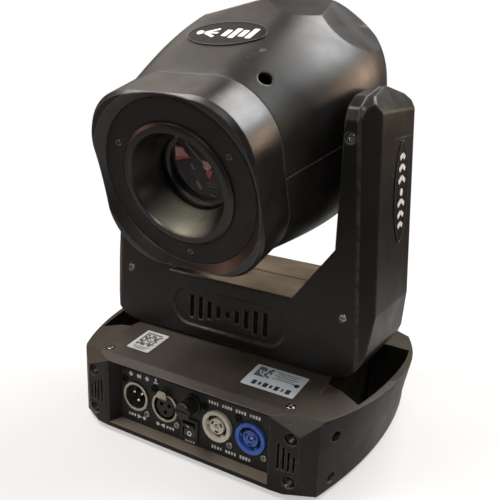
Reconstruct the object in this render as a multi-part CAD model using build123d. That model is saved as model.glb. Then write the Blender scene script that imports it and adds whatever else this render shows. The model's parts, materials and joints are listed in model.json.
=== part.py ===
from build123d import *
import math
import os

# Moving head light: a base, a yoke that pans on it, and a head that tilts between the yoke's arms.
# Frame: +Z up, -Y is the connector side, X runs along the connector panel.
# The origin is the centre of the base's underside, on the pan axis. All sizes are in millimetres.

# ---- driving dimensions: base ----
LIP_Y = 94.2
LIP_HALF_X = 69.5
LIP_LOW = 3.6
LIP_HIGH = 54.8
VENT_FACE_X = 91.0
VENT_FACE_Y = 92.4
CORNER_X = 101.2
CORNER_Y = 83.8
SIDE_LOW_X = 111.5
SIDE_HIGH_X = 126.0
BASE_TOP = 64.0
DECK_EDGE_Y = 87.0
DECK_EDGE_Z = 57.8
DECK_CREST_Y = 42.0
CREASE_X = 86.0
BASE_WALL = 3.0
PANEL_Y = 84.8
PANEL_HALF_X = 64.6
PANEL_LOW = 4.4
PANEL_HIGH = 47.8
PANEL_THICK = 1.5
PANEL_LEDGE = 5.0
CONNECTOR_Z = 27.0
CONNECTOR_R = 12.0
SIGNAL_X = (-50.0, -22.2)
POWER_X = (23.5, 51.0)
SWITCH_Z = 16.4
FUSE_Z = 37.1
SWITCH_HALF_X = 6.4
SWITCH_HALF_Z = 7.6
HANDLE_TOP = 60.0
TRAY_THICK = 2.5
BRACKET_X = 106.0
BRACKET_Y = 60.0
BRACKET_HOLE_R = 3.3
FOOT_X = 74.0
FOOT_Y = 70.0
FOOT_R = 9.0
FOOT_HIGH = 4.0
VENT_SLOT_X = 76.6
VENT_SLOT_PITCH = 3.7
VENT_SLOT_LOW = 17.6
VENT_SLOT_TOP = 37.4
VENT_SLOT_STEP = 2.5
# Places of small repeated pieces: (x, z) on the panels, (x, y) on the deck, (x, z) inside a connector.
PANEL_CORNERS = ((-61.0, 45.1), (61.0, 45.1), (-61.0, 7.1), (61.0, 7.1))
DECK_SCREWS = ((-77.5, -81.5), (77.5, -81.5), (-77.5, 81.5), (77.5, 81.5))
PIN_PLACES = ((-3.6, 1.8), (3.6, 1.8), (0.0, -4.2))
CONNECTOR_SCREW_X = 10.6
CONNECTOR_SCREW_Z = 11.6
FUSE_X = 2.0
FUSE_R = 5.6
FUSE_CAP_LENGTH = 13.5
ROCKER_REST = 10.0
ROCKER_Y = -PANEL_Y + 3.0
BUTTONS = {"button_menu": 22.0, "button_up": 33.0, "button_down": 44.0, "button_enter": 55.0}
BUTTON_R = 3.6

# ---- driving dimensions: pan drive ----
PAN_SHAFT_R = 14.0
PAN_BORE_R = 9.5
PAN_PULLEY_R = 38.0
PINION_R = 6.4
BELT_THICK = 1.4
BELT_GAP = 0.35
PAN_BELT_LOW = 41.0
PAN_BELT_HIGH = 49.0
PAN_MOTOR_X = 58.0
PAN_MOTOR_Y = 28.0
MOTOR_HALF = 17.5

# ---- driving dimensions: yoke ----
YOKE_HALF_Y = 40.5
YOKE_LOW = 66.0
CROSS_TOP = 115.3
CROSS_CHAMFER_X = 52.9
ARM_IN_X = 82.9
ARM_CHAMFER_Z = 155.8
ARM_SHOULDER_Z = 239.5
ARM_TOP_Z = 259.6
SEAM_LOW_X = 103.4
SEAM_LOW_Z = 86.0
SEAM_HIGH_X = 91.0
SIDE_FACE_LOW_X = 111.6
SIDE_FACE_LOW_Z = 112.0
SIDE_FACE_HIGH_X = 103.6
SIDE_FACE_HIGH_Z = 245.0
SIDE_FACE_HALF_Y = 29.5
CROWN_X = 91.5
YOKE_WALL = 3.0
YOKE_SCREWS = ((91.9, 109.8), (87.6, 229.2))
TILT_Z = 227.7

# ---- driving dimensions: head, measured along its optical axis from the tilt axis ----
REST_DROOP = 17.03
BEZEL_HALF = 61.0
BEZEL_CORNER = 39.0
BEZEL_REAR = 78.0
BEZEL_FRONT = 111.0
DISC_FRONT = 105.7
DISC_R = 56.7
RING_R = 41.8
CONE_R = 35.1
THROAT_R = 26.8
THROAT_L = 89.6
DISC_SCREW_R = 48.5
HEAD_WALL = 2.6
# Outer sections of the head's shells: distance forward, half width, half height, corner radius.
HEAD_SECTIONS = (
    (78.0, 62.0, 62.0, 42.0),
    (45.0, 69.5, 70.0, 48.0),
    (10.0, 76.8, 77.0, 56.0),
    (-25.0, 79.3, 81.5, 63.0),
    (-52.0, 76.0, 78.5, 60.0),
    (-72.0, 68.5, 70.0, 52.0),
)
CAP_SECTIONS = (
    (-72.0, 68.5, 70.0, 52.0),
    (-89.0, 56.0, 56.0, 44.0),
    (-102.0, 38.0, 38.0, 32.0),
)
# Flat facets on top of the head's rear half: outward normal (x, up, forward) and distance from the tilt axis.
TOP_FACET = ((0.2, 1.0, -0.09), 82.4)
SIDE_FACET = ((0.667, 0.744, -0.2), 87.3)
HEAD_SIDE_HOLE = (47.0, 57.3, 64.0)
HEAD_SIDE_HOLE_R = 4.6
# Frame, focus rods, wheels and prism inside the head.
FRAME_X = 44.0
FOCUS_ROD_R = 1.5
FOCUS_ROD_X = 37.0
FOCUS_ROD_Y = -33.0
PRISM_PIVOT = (26.0, 22.0)
PRISM_PIN_R = 1.95
WHEEL_R = 33.0
WHEEL_OFFSET = 23.0
WHEEL_SHAFT_R = 1.95
TILT_SHAFT_R = 8.0
TILT_BORE_R = 5.5
TILT_PULLEY_R = 17.0
TILT_BEARING_R = 13.0
TILT_BELT_X = (91.6, 96.4)
FRAME_PLATE_X = (86.6, 89.6)
TILT_MOTOR_Z = 92.0

# ---- fits ----
RUNNING = 0.05
GAP = 0.4


# ---- helpers ----
def block(x0, x1, y0, y1, z0, z1):
    """Box between two corners."""
    centre = Pos((x0 + x1) / 2, (y0 + y1) / 2, (z0 + z1) / 2)
    return centre * Box(abs(x1 - x0), abs(y1 - y0), abs(z1 - z0))


def rod(radius, z0, z1, x=0.0, y=0.0):
    """Cylinder along Z."""
    return Pos(x, y, (z0 + z1) / 2) * Cylinder(radius, abs(z1 - z0))


def rod_x(radius, x0, x1, y, z):
    """Cylinder along X."""
    return Pos((x0 + x1) / 2, y, z) * Rot(0, 90, 0) * Cylinder(radius, abs(x1 - x0))


def rod_y(radius, y0, y1, x, z):
    """Cylinder along Y."""
    return Pos(x, (y0 + y1) / 2, z) * Rot(90, 0, 0) * Cylinder(radius, abs(y1 - y0))


def tube(outer, inner, z0, z1, x=0.0, y=0.0):
    """Ring along Z."""
    return rod(outer, z0, z1, x, y) - rod(inner, z0 - 1, z1 + 1, x, y)


def mirrored_x(shape):
    return shape + mirror(shape, Plane.YZ)


def mirrored_xy(shape):
    half = shape + mirror(shape, Plane.YZ)
    return half + mirror(half, Plane.XZ)


def prism_xz(points, y0, y1):
    """Polygon in the XZ plane, extruded along Y."""
    face = make_face(Polyline(*[(x, 0, z) for x, z in points], close=True))
    return Pos(0, y0, 0) * extrude(face, amount=y1 - y0, dir=(0, 1, 0))


def prism_yz(points, x0, x1):
    """Polygon in the YZ plane, extruded along X."""
    face = make_face(Polyline(*[(0, y, z) for y, z in points], close=True))
    return Pos(x0, 0, 0) * extrude(face, amount=x1 - x0, dir=(1, 0, 0))


def prism_xy(points, z0, z1):
    """Polygon in the XY plane, extruded along Z."""
    face = make_face(Polyline(*[(x, y, z0) for x, y in points], close=True))
    return extrude(face, amount=z1 - z0, dir=(0, 0, 1))


def cutter(p, q, r, inside, size=400.0, depth=60.0):
    """Slab on the side of plane pqr that doesn't hold the point inside."""
    origin = Vector(*p)
    normal = (Vector(*q) - origin).cross(Vector(*r) - origin).normalized()
    if (Vector(*inside) - origin).dot(normal) > 0:
        normal = normal * -1
    plane = Plane(origin=origin, z_dir=normal)
    return plane.location * Pos(0, 0, depth / 2) * Box(size, size, depth)


def rounded_loft(sections):
    """Loft along local Z through rounded rectangles: (height, half x, half y, corner radius)."""
    faces = []
    for height, half_x, half_y, corner in sections:
        faces.append(Plane.XY.offset(height) * RectangleRounded(2 * half_x, 2 * half_y, corner))
    return loft(faces)


def belt_loop(radius_a, radius_b, distance, low, high):
    """Closed belt along Z around two wheels, the second one at +X by distance."""
    def outline(extra):
        a, b = radius_a + extra, radius_b + extra
        lean = math.asin((a - b) / distance)
        points = []
        for wheel_x, radius, start, end in (
            (0.0, a, math.pi / 2 - lean, 1.5 * math.pi + lean),
            (distance, b, -math.pi / 2 + lean, math.pi / 2 - lean),
        ):
            middle = (start + end) / 2
            trio = []
            for angle in (start, middle, end):
                trio.append((wheel_x + radius * math.cos(angle), radius * math.sin(angle)))
            points.append(trio)
        big, small = points
        wire = ThreePointArc(*big) + Line(big[2], small[0]) + ThreePointArc(*small) + Line(small[2], big[0])
        return extrude(make_face(wire), amount=high - low)
    ring = outline(BELT_GAP + BELT_THICK) - outline(BELT_GAP)
    return Pos(0, 0, low) * ring


HEAD_FORWARD = (0, -math.cos(math.radians(REST_DROOP)), -math.sin(math.radians(REST_DROOP)))
HEAD_PLACE = Plane(origin=(0, 0, TILT_Z), x_dir=(1, 0, 0), z_dir=HEAD_FORWARD).location


def in_head(shape):
    """Put a piece built about the tilt axis, with local +Z as the light's direction, in its place."""
    return HEAD_PLACE * shape


# ---- base ----
def side_arc(corner_x, corner_y, middle_x):
    return ThreePointArc((corner_x, -corner_y, 0), (middle_x, 0, 0), (corner_x, corner_y, 0))


def base_outline(middle_x, height):
    """Plan outline of the base at one height: flat front, two facets a corner, and bowed sides."""
    half = [(LIP_HALF_X + 2.5, -LIP_Y), (VENT_FACE_X, -VENT_FACE_Y), (CORNER_X, -CORNER_Y)]
    right_front = Polyline(*[(x, y, 0) for x, y in half])
    right_back = Polyline(*[(x, -y, 0) for x, y in reversed(half)])
    left_back = Polyline(*[(-x, -y, 0) for x, y in half])
    left_front = Polyline(*[(-x, y, 0) for x, y in reversed(half)])
    front = Line((-half[0][0], -LIP_Y, 0), (half[0][0], -LIP_Y, 0))
    back = Line((half[0][0], LIP_Y, 0), (-half[0][0], LIP_Y, 0))
    right = side_arc(CORNER_X, CORNER_Y, middle_x)
    left = ThreePointArc((-CORNER_X, CORNER_Y, 0), (-middle_x, 0, 0), (-CORNER_X, -CORNER_Y, 0))
    wire = front + right_front + right + right_back + back + left_back + left + left_front
    return Pos(0, 0, height) * make_face(wire)


def handle_hole():
    """Through hole between the body and one carry handle, leaning out with the handle."""
    faces = []
    for height, middle_x in ((-1.0, SIDE_LOW_X), (BASE_TOP + 4, SIDE_HIGH_X)):
        inner = middle_x - 5.0
        end_x = inner - 6.0
        wire = Polyline((end_x, 52, 0), (CREASE_X, 42, 0), (CREASE_X, -42, 0), (end_x, -52, 0))
        wire += ThreePointArc((end_x, -52, 0), (inner, 0, 0), (end_x, 52, 0))
        faces.append(Pos(0, 0, height) * make_face(wire))
    return loft(faces, ruled=True)


def deck_profile(inset):
    """Side profile of the base from below up to the deck, pulled in by inset."""
    edge = [(-LIP_Y, LIP_HIGH), (-DECK_EDGE_Y, DECK_EDGE_Z), (-DECK_CREST_Y, BASE_TOP)]
    low = -30.0 if inset else 0.0
    half = [(-LIP_Y + inset, low)]
    half += [(y + (inset if i == 0 else 0), z - inset) for i, (y, z) in enumerate(edge)]
    return half + [(-y, z) for y, z in reversed(half)]


def corner_cuts():
    """Slabs that bevel one front corner: upper triangle, lower triangle and the outer deck facet."""
    inside = (60, -60, 30)
    upper = cutter((LIP_HALF_X, -LIP_Y, LIP_HIGH), (VENT_FACE_X, -VENT_FACE_Y, 45.2),
                   (CORNER_X, -CORNER_Y, 53.0), inside)
    lower = cutter((79.5, -LIP_Y, 0), (VENT_FACE_X, -VENT_FACE_Y, 13.8), (CORNER_X, -CORNER_Y, 0), inside)
    deck = cutter((CREASE_X, -DECK_EDGE_Y, DECK_EDGE_Z - 0.4), (CREASE_X, -DECK_CREST_Y, 62.4),
                  (119, -56, 55.5), inside)
    return upper, lower, deck


def panel_recess():
    """Tapered recess of the front panel, the panel's own seat, and the window behind it."""
    lip = Plane(origin=(0, -LIP_Y - 0.01, (LIP_LOW + LIP_HIGH) / 2), x_dir=(1, 0, 0), z_dir=(0, -1, 0))
    seat = Plane(origin=(0, -PANEL_Y, (PANEL_LOW + PANEL_HIGH) / 2), x_dir=(1, 0, 0), z_dir=(0, -1, 0))
    mouth = loft([lip * Rectangle(2 * LIP_HALF_X, LIP_HIGH - LIP_LOW),
                  seat * Rectangle(2 * PANEL_HALF_X, PANEL_HIGH - PANEL_LOW)], ruled=True)
    pocket = block(-PANEL_HALF_X, PANEL_HALF_X, -PANEL_Y - 0.01, -PANEL_Y + PANEL_THICK,
                   PANEL_LOW, PANEL_HIGH)
    window = block(-PANEL_HALF_X + 0.4, PANEL_HALF_X - 0.4, -PANEL_Y, -PANEL_Y + 12,
                   PANEL_LOW + PANEL_LEDGE, PANEL_HIGH - PANEL_LEDGE)
    notch = block(-SWITCH_HALF_X - 2, SWITCH_HALF_X + 2, -PANEL_Y, -PANEL_Y + 12, PANEL_LOW, SWITCH_Z)
    return mouth + pocket + window + notch


def corner_vents():
    """Two screw holes and four slots in one front corner face, and two screw holes in the side."""
    cuts = Part()
    for height in (10.0, 42.0):
        cuts += rod_y(4.6, -LIP_Y - 2, -LIP_Y + 7, 84.8, height)
    for i in range(4):
        x = VENT_SLOT_X + VENT_SLOT_PITCH * i
        top = VENT_SLOT_TOP - VENT_SLOT_STEP * i
        cuts += block(x - 0.9, x + 0.9, -LIP_Y - 2, -LIP_Y + 9, VENT_SLOT_LOW, top)
    for height in (9.0, 41.0):
        cuts += Pos(104, -70, height) * Rot(0, 0, -24) * Rot(0, 90, 0) * Cylinder(4.0, 9)
    return cuts


def base_cavity():
    """Hollow of the base: the body and its four corners, open below."""
    roof = prism_yz(deck_profile(BASE_WALL), -CREASE_X + BASE_WALL, CREASE_X - BASE_WALL)
    body = roof & block(-CREASE_X + BASE_WALL, CREASE_X - BASE_WALL, -LIP_Y + 3, LIP_Y - 3, -20, 80)
    front = block(-LIP_HALF_X - 2.5, LIP_HALF_X + 2.5, -LIP_Y, -PANEL_Y + PANEL_THICK + 2.4, -20, 80)
    body -= front
    body -= mirror(front, Plane.XZ)
    corner = prism_xy([(74, -90.8), (89.5, -89.2), (97.5, -82), (101, -62), (82, -47)], -20, 49.5)
    return body + mirrored_xy(corner)


def base_shell():
    body = loft([base_outline(SIDE_LOW_X, 0), base_outline(SIDE_HIGH_X, BASE_TOP + 2)], ruled=True)
    body = body & prism_yz(deck_profile(0.0), -200, 200)
    for cut in corner_cuts():
        body -= cut
        body -= mirror(cut, Plane.YZ)
        body -= mirror(cut, Plane.XZ)
        body -= mirror(mirror(cut, Plane.YZ), Plane.XZ)
    body -= base_cavity()
    hole = handle_hole()
    body -= hole
    body -= mirror(hole, Plane.YZ)
    recess = panel_recess()
    body -= recess
    body -= mirror(recess, Plane.XZ)
    for x, z in PANEL_CORNERS:
        body -= rod_y(1.3, PANEL_Y - 9, PANEL_Y, x, z)
    vents = corner_vents()
    body -= mirrored_xy(vents)
    body += rod(27.0, 51.0, BASE_TOP)
    body -= rod(22.0, 40.0, 60.5)
    body -= rod(PAN_SHAFT_R + 4, 40, 80)
    for side in (-1, 1):
        body -= block(side * (CREASE_X + 1), side * 200, -DECK_CREST_Y - 16, DECK_CREST_Y + 16,
                      HANDLE_TOP, 80)
    for x, y in DECK_SCREWS:
        body -= rod(3.6, 50, 80, x, y) & block(-200, 200, -200, 200, deck_height(y) - 1.2, 80)
        body -= rod(1.3, deck_height(y) - 12, 80, x, y)
    return body


def deck_height(y):
    """Height of the deck's surface at a distance from the pan axis."""
    slope = (BASE_TOP - DECK_EDGE_Z) / (DECK_EDGE_Y - DECK_CREST_Y)
    return BASE_TOP - slope * (abs(y) - DECK_CREST_Y)


def bottom_tray():
    plate = block(-82.6, 82.6, -80.4, 80.4, 0, TRAY_THICK)
    for sx in (-1, 1):
        for sy in (-1, 1):
            plate -= rod(BRACKET_HOLE_R, -1, 5, sx * BRACKET_X / 2, sy * BRACKET_Y / 2)
            plate -= rod(1.7, -1, 5, sx * FOOT_X, sy * FOOT_Y)
    for i in range(9):
        plate -= block(-30, 30, -14 + 3.5 * i - 0.8, -14 + 3.5 * i + 0.8, -1, 5)
    return plate


def rubber_feet():
    foot = rod(FOOT_R, -FOOT_HIGH, 0, FOOT_X, FOOT_Y)
    foot = chamfer(foot.edges().group_by(Axis.Z)[0], 0.8)
    foot -= rod(4.2, -FOOT_HIGH - 1, -1.8, FOOT_X, FOOT_Y)
    foot -= rod(1.7, -FOOT_HIGH - 1, 1, FOOT_X, FOOT_Y)
    return mirrored_xy(foot)


def phillips_screw(head_r, head_high, shank_r, length):
    """Pan-head screw with its head on local z = 0 and its shank going down."""
    head = rod(head_r, 0, head_high)
    head = fillet(head.edges().group_by(Axis.Z)[-1], head_high * 0.6)
    for angle in (0, 90):
        head -= Rot(0, 0, angle) * block(-head_r * 0.55, head_r * 0.55, -0.35, 0.35, head_high * 0.35, 9)
    return head + rod(shank_r, -length, 0)


def case_screws():
    foot = Pos(FOOT_X, FOOT_Y, -1.8) * Rot(180, 0, 0) * phillips_screw(3.6, 1.6, 1.6, 6.5)
    screws = mirrored_xy(foot)
    for x, y in DECK_SCREWS:
        screws += Pos(x, y, deck_height(y) - 1.2) * phillips_screw(3.2, 1.4, 1.2, 9.0)
    return screws


def panel_plate():
    """Blank panel plate in the front recess."""
    return block(-PANEL_HALF_X + 0.2, PANEL_HALF_X - 0.2, -PANEL_Y, -PANEL_Y + PANEL_THICK,
                 PANEL_LOW + 0.2, PANEL_HIGH - 0.2)


def connector_screw_places():
    places = []
    for x in SIGNAL_X + POWER_X:
        places.append((x - CONNECTOR_SCREW_X, CONNECTOR_Z + CONNECTOR_SCREW_Z))
        places.append((x + CONNECTOR_SCREW_X, CONNECTOR_Z - CONNECTOR_SCREW_Z))
    return places


def connector_panel():
    plate = panel_plate()
    for x in SIGNAL_X + POWER_X:
        plate -= rod_y(CONNECTOR_R + 0.1, -PANEL_Y - 2, -PANEL_Y + 4, x, CONNECTOR_Z)
    plate -= rod_y(FUSE_R + 0.1, -PANEL_Y - 2, -PANEL_Y + 4, FUSE_X, FUSE_Z)
    plate -= block(-SWITCH_HALF_X - 0.1, SWITCH_HALF_X + 0.1, -PANEL_Y - 2, -PANEL_Y + 4,
                   SWITCH_Z - SWITCH_HALF_Z - 0.1, SWITCH_Z + SWITCH_HALF_Z + 0.1)
    for x, z in connector_screw_places():
        plate -= rod_y(1.35, -PANEL_Y - 2, -PANEL_Y + 4, x, z)
    return plate


def panel_screws():
    screws = Part()
    turned = Rot(90, 0, 0)
    for x, z in connector_screw_places():
        screws += Pos(x, -PANEL_Y, z) * turned * phillips_screw(2.7, 1.3, 1.25, 6.0)
    for x, z in PANEL_CORNERS:
        screws += Pos(x, PANEL_Y, z) * Rot(-90, 0, 0) * phillips_screw(2.1, 1.1, 1.25, 6.0)
    return screws


def rear_flange(x, hole_r):
    """Square flange behind the panel that carries one round connector."""
    flange = block(x - 13, x + 13, -PANEL_Y + PANEL_THICK, -PANEL_Y + PANEL_THICK + 2,
                   CONNECTOR_Z - 15.5, CONNECTOR_Z + 15.5)
    flange -= rod_y(hole_r, -PANEL_Y, -PANEL_Y + 9, x, CONNECTOR_Z)
    for side in (-1, 1):
        flange -= rod_y(1.25, -PANEL_Y, -PANEL_Y + 9, x + side * CONNECTOR_SCREW_X,
                        CONNECTOR_Z - side * CONNECTOR_SCREW_Z)
    return flange


def connector_barrel(x, front, back, outer, inner, floor=0.0):
    """Round shell of a connector; floor is the thickness of its closed back."""
    barrel = rod_y(outer, -PANEL_Y - front, -PANEL_Y + back, x, CONNECTOR_Z)
    reach = back - floor if floor else back + 1
    return barrel - rod_y(inner, -PANEL_Y - front - 1, -PANEL_Y + reach, x, CONNECTOR_Z)


def signal_inlet_shell():
    x = SIGNAL_X[0]
    return connector_barrel(x, 1.2, 22, CONNECTOR_R - 0.4, 9.6) + rear_flange(x, CONNECTOR_R - 1)


def signal_outlet_shell():
    x = SIGNAL_X[1]
    shell = connector_barrel(x, 1.6, 22, CONNECTOR_R - 0.4, 9.8) + rear_flange(x, CONNECTOR_R - 1)
    shell -= block(x - 2.6, x + 2.6, -PANEL_Y - 4, -PANEL_Y + 11, CONNECTOR_Z + 6, CONNECTOR_Z + 14)
    return shell


def signal_inserts():
    """Insulators: a disc deep in the inlet, and a plug with three holes near the outlet's mouth."""
    inlet = rod_y(9.6, -PANEL_Y + 15, -PANEL_Y + 19, SIGNAL_X[0], CONNECTOR_Z)
    outlet = rod_y(7.8, -PANEL_Y - 0.6, -PANEL_Y + 19, SIGNAL_X[1], CONNECTOR_Z)
    outlet += rod_y(9.8, -PANEL_Y + 15, -PANEL_Y + 19, SIGNAL_X[1], CONNECTOR_Z)
    for dx, dz in PIN_PLACES:
        outlet -= rod_y(1.6, -PANEL_Y - 2, -PANEL_Y + 12, SIGNAL_X[1] - dx, CONNECTOR_Z + dz)
        inlet -= rod_y(1.2, -PANEL_Y, -PANEL_Y + 30, SIGNAL_X[0] + dx, CONNECTOR_Z + dz)
    return inlet + outlet


def signal_pins():
    pins = Part()
    for dx, dz in PIN_PLACES:
        pin = rod_y(1.2, -PANEL_Y + 1.5, -PANEL_Y + 24, SIGNAL_X[0] + dx, CONNECTOR_Z + dz)
        pins += chamfer(pin.edges().group_by(Axis.Y)[0], 0.5)
    return pins


def outlet_latch():
    """Release tab of the outlet, which is pushed in to free the plug."""
    x = SIGNAL_X[1]
    tab = block(x - 4.2, x + 4.2, -PANEL_Y - 5.4, -PANEL_Y - 3.8, CONNECTOR_Z + 8.4, CONNECTOR_Z + 14.6)
    tab = fillet(tab.edges().filter_by(Axis.Y).group_by(Axis.Z)[-1], 3.0)
    tab = fillet(tab.edges().group_by(Axis.Y)[0], 0.5)
    return tab + block(x - 2.2, x + 2.2, -PANEL_Y - 4, -PANEL_Y + 8, CONNECTOR_Z + 10.3, CONNECTOR_Z + 11.7)


def power_connector(x):
    """Round locking mains connector: ring, keyed socket and a core with three contact slots."""
    body = connector_barrel(x, 2.2, 28, CONNECTOR_R - 0.4, 8.8, 3.0) + rear_flange(x, CONNECTOR_R - 1)
    core = rod_y(5.9, -PANEL_Y - 1.4, -PANEL_Y + 26, x, CONNECTOR_Z)
    core -= rod_y(2.0, -PANEL_Y - 3, -PANEL_Y + 12, x, CONNECTOR_Z)
    for angle in (90, 210, 330):
        spot = Pos(x, -PANEL_Y + 2, CONNECTOR_Z) * Rot(0, angle, 0) * Pos(4.1, 0, 0)
        core -= spot * Box(1.4, 14, 3.0)
    keys = Part()
    for angle in (60, 180, 300):
        spot = Pos(x, -PANEL_Y + 4, CONNECTOR_Z) * Rot(0, angle, 0) * Pos(8.2, 0, 0)
        keys += spot * Box(1.8, 9, 2.4)
    return body + core + keys


def fuse_holder():
    body = rod_y(FUSE_R, -PANEL_Y - 0.8, -PANEL_Y + 30, FUSE_X, FUSE_Z)
    body += rod_y(7.6, -PANEL_Y - 2.2, -PANEL_Y, FUSE_X, FUSE_Z)
    return body - rod_y(4.6, -PANEL_Y - 4, -PANEL_Y + 27, FUSE_X, FUSE_Z)


def fuse_cap():
    """Knurled bayonet cap with a screwdriver slot across its end."""
    end = -PANEL_Y - FUSE_CAP_LENGTH
    cap = rod_y(6.2, end, -PANEL_Y - 2.6, FUSE_X, FUSE_Z)
    cap = chamfer(cap.edges().group_by(Axis.Y)[0], 0.9)
    for i in range(18):
        groove = Pos(FUSE_X, 0, FUSE_Z) * Rot(0, 20 * i, 0) * Pos(6.5, 0, 0)
        cap -= groove * block(-0.7, 0.7, end + 2.4, -PANEL_Y - 2, -0.45, 0.45)
    cap += rod_y(4.2, -PANEL_Y - 3, -PANEL_Y + 3, FUSE_X, FUSE_Z)
    return cap - block(FUSE_X - 5, FUSE_X + 5, end - 1, end + 1.2, FUSE_Z - 0.6, FUSE_Z + 0.6)


def switch_body():
    """Frame and case of the rocker switch, with a pivot hole in each side of its well."""
    half_x, half_z = SWITCH_HALF_X, SWITCH_HALF_Z
    frame = block(-half_x - 1.2, half_x + 1.2, -PANEL_Y - 1.8, -PANEL_Y, SWITCH_Z - half_z - 1.2,
                  SWITCH_Z + half_z + 1.2)
    frame = chamfer(frame.edges().group_by(Axis.Y)[0], 0.6)
    case = block(-half_x, half_x, -PANEL_Y - 1.6, -PANEL_Y + 16, SWITCH_Z - half_z, SWITCH_Z + half_z)
    well = block(-half_x + 1, half_x - 1, -PANEL_Y - 3, -PANEL_Y + 10, SWITCH_Z - half_z + 1,
                 SWITCH_Z + half_z - 1)
    pivot = rod_x(1.2 + RUNNING, -half_x - 1, half_x + 1, ROCKER_Y, SWITCH_Z)
    return frame + case - well - pivot


def switch_rocker():
    """Rocker on a pivot along X, resting with its lower end pressed."""
    half = SWITCH_HALF_Z - 2.4
    points = [(-5.2, half), (-3.9, 0.0), (-5.2, -half), (1.0, -half), (4.0, -2.0), (4.0, 2.0), (1.0, half)]
    body = prism_yz(points, -SWITCH_HALF_X + 1.4, SWITCH_HALF_X - 1.4)
    body += rod_x(1.2, -SWITCH_HALF_X + 0.3, SWITCH_HALF_X - 0.3, 0, 0)
    return Pos(0, ROCKER_Y, SWITCH_Z) * Rot(ROCKER_REST, 0, 0) * body


def display_panel():
    """Rear panel plate with the display's window and the four button holes."""
    plate = mirror(panel_plate(), Plane.XZ)
    plate -= block(-48, 8, PANEL_Y - 4, PANEL_Y + 4, 14, 38)
    for x in BUTTONS.values():
        plate -= rod_y(BUTTON_R + GAP, PANEL_Y - 4, PANEL_Y + 4, x, CONNECTOR_Z)
    for x, z in PANEL_CORNERS:
        plate -= rod_y(1.35, PANEL_Y - 4, PANEL_Y + 2, x, z)
    return plate


def display_window():
    return block(-47.8, 7.8, PANEL_Y - 3.0, PANEL_Y - 0.4, 14.2, 37.8)


def menu_button(x):
    stem = rod_y(BUTTON_R, PANEL_Y - 4.0, PANEL_Y + 2.2, x, CONNECTOR_Z)
    stem = fillet(stem.edges().group_by(Axis.Y)[-1], 0.8)
    return stem + rod_y(BUTTON_R + 0.9, PANEL_Y - 4.0, PANEL_Y - 2.4, x, CONNECTOR_Z)


def control_board():
    """Display board behind the rear panel and main board on the tray."""
    upright = block(-52, 60, PANEL_Y - 8.4, PANEL_Y - 6.8, 8, 44)
    main = block(-8, 36, -46, 62, 7.0, 8.6)
    chips = ((4, -30, 9, 4), (22, -20, 12, 3), (10, 10, 14, 5), (26, 40, 8, 9), (0, 46, 6, 11))
    for x, y, size, high in chips:
        main += block(x - size / 2, x + size / 2, y - size / 2, y + size / 2, 8.6, 8.6 + high)
    for x, y in ((-5, -43), (33, -43), (-5, 59), (33, 59)):
        main += rod(2.2, TRAY_THICK, 7.0, x, y)
    return upright + main


def power_supply():
    case = block(-78, -22, -44, 68, TRAY_THICK, 36)
    for i in range(12):
        y = -38 + 8.6 * i
        case -= block(-66, -34, y - 1.6, y + 1.6, 35, 37)
    return case


def motor(length):
    """Stepper motor, local z = 0 at its mounting face, body going down, short register above."""
    body = block(-MOTOR_HALF, MOTOR_HALF, -MOTOR_HALF, MOTOR_HALF, -length, 0)
    body = chamfer(body.edges().filter_by(Axis.Z), 3.0)
    for low in (-length + 8.0, -9.0):
        groove = block(-30, 30, -30, 30, low, low + 1.0)
        core = MOTOR_HALF - 0.7
        groove -= block(-core, core, -core, core, low - 1, low + 2)
        body -= groove
    return body


def pan_motor():
    body = Pos(PAN_MOTOR_X, PAN_MOTOR_Y, 38.0) * motor(35.5)
    foot = block(PAN_MOTOR_X - MOTOR_HALF, PAN_MOTOR_X + MOTOR_HALF, PAN_MOTOR_Y - MOTOR_HALF,
                 PAN_MOTOR_Y + MOTOR_HALF, 38.0, 39.5)
    foot -= rod(PINION_R, 30, 50, PAN_MOTOR_X, PAN_MOTOR_Y)
    return body + foot


def toothed_pinion(low, high):
    """Belt pinion with two flanges and shallow teeth, on local Z."""
    wheel = rod(PINION_R, low, high)
    for i in range(16):
        wheel -= Rot(0, 0, 22.5 * i) * Pos(PINION_R, 0, (low + high) / 2) * Cylinder(0.55, high - low + 2)
    for level in (low - 1.0, high):
        wheel += rod(PINION_R + 2.2, level, level + 1.0)
    return wheel


def pan_pinion():
    wheel = toothed_pinion(PAN_BELT_LOW, PAN_BELT_HIGH)
    shaft = rod(2.5, 38.2, PAN_BELT_LOW)
    return Pos(PAN_MOTOR_X, PAN_MOTOR_Y, 0) * (wheel + shaft)


def pan_belt():
    distance = math.hypot(PAN_MOTOR_X, PAN_MOTOR_Y)
    angle = math.degrees(math.atan2(PAN_MOTOR_Y, PAN_MOTOR_X))
    loop = belt_loop(PAN_PULLEY_R, PINION_R, distance, PAN_BELT_LOW + 1, PAN_BELT_HIGH - 1)
    return Rot(0, 0, angle) * loop


def pan_bearing():
    """Outer ring in the deck's boss, inner face round the pan shaft."""
    ring = tube(22.0, 19.4, 54.0, 60.5)
    inner = tube(17.0, PAN_SHAFT_R + RUNNING, 54.0, 60.5)
    web = tube(19.6, 16.8, 55.2, 59.3)
    return ring + inner + web


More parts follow.
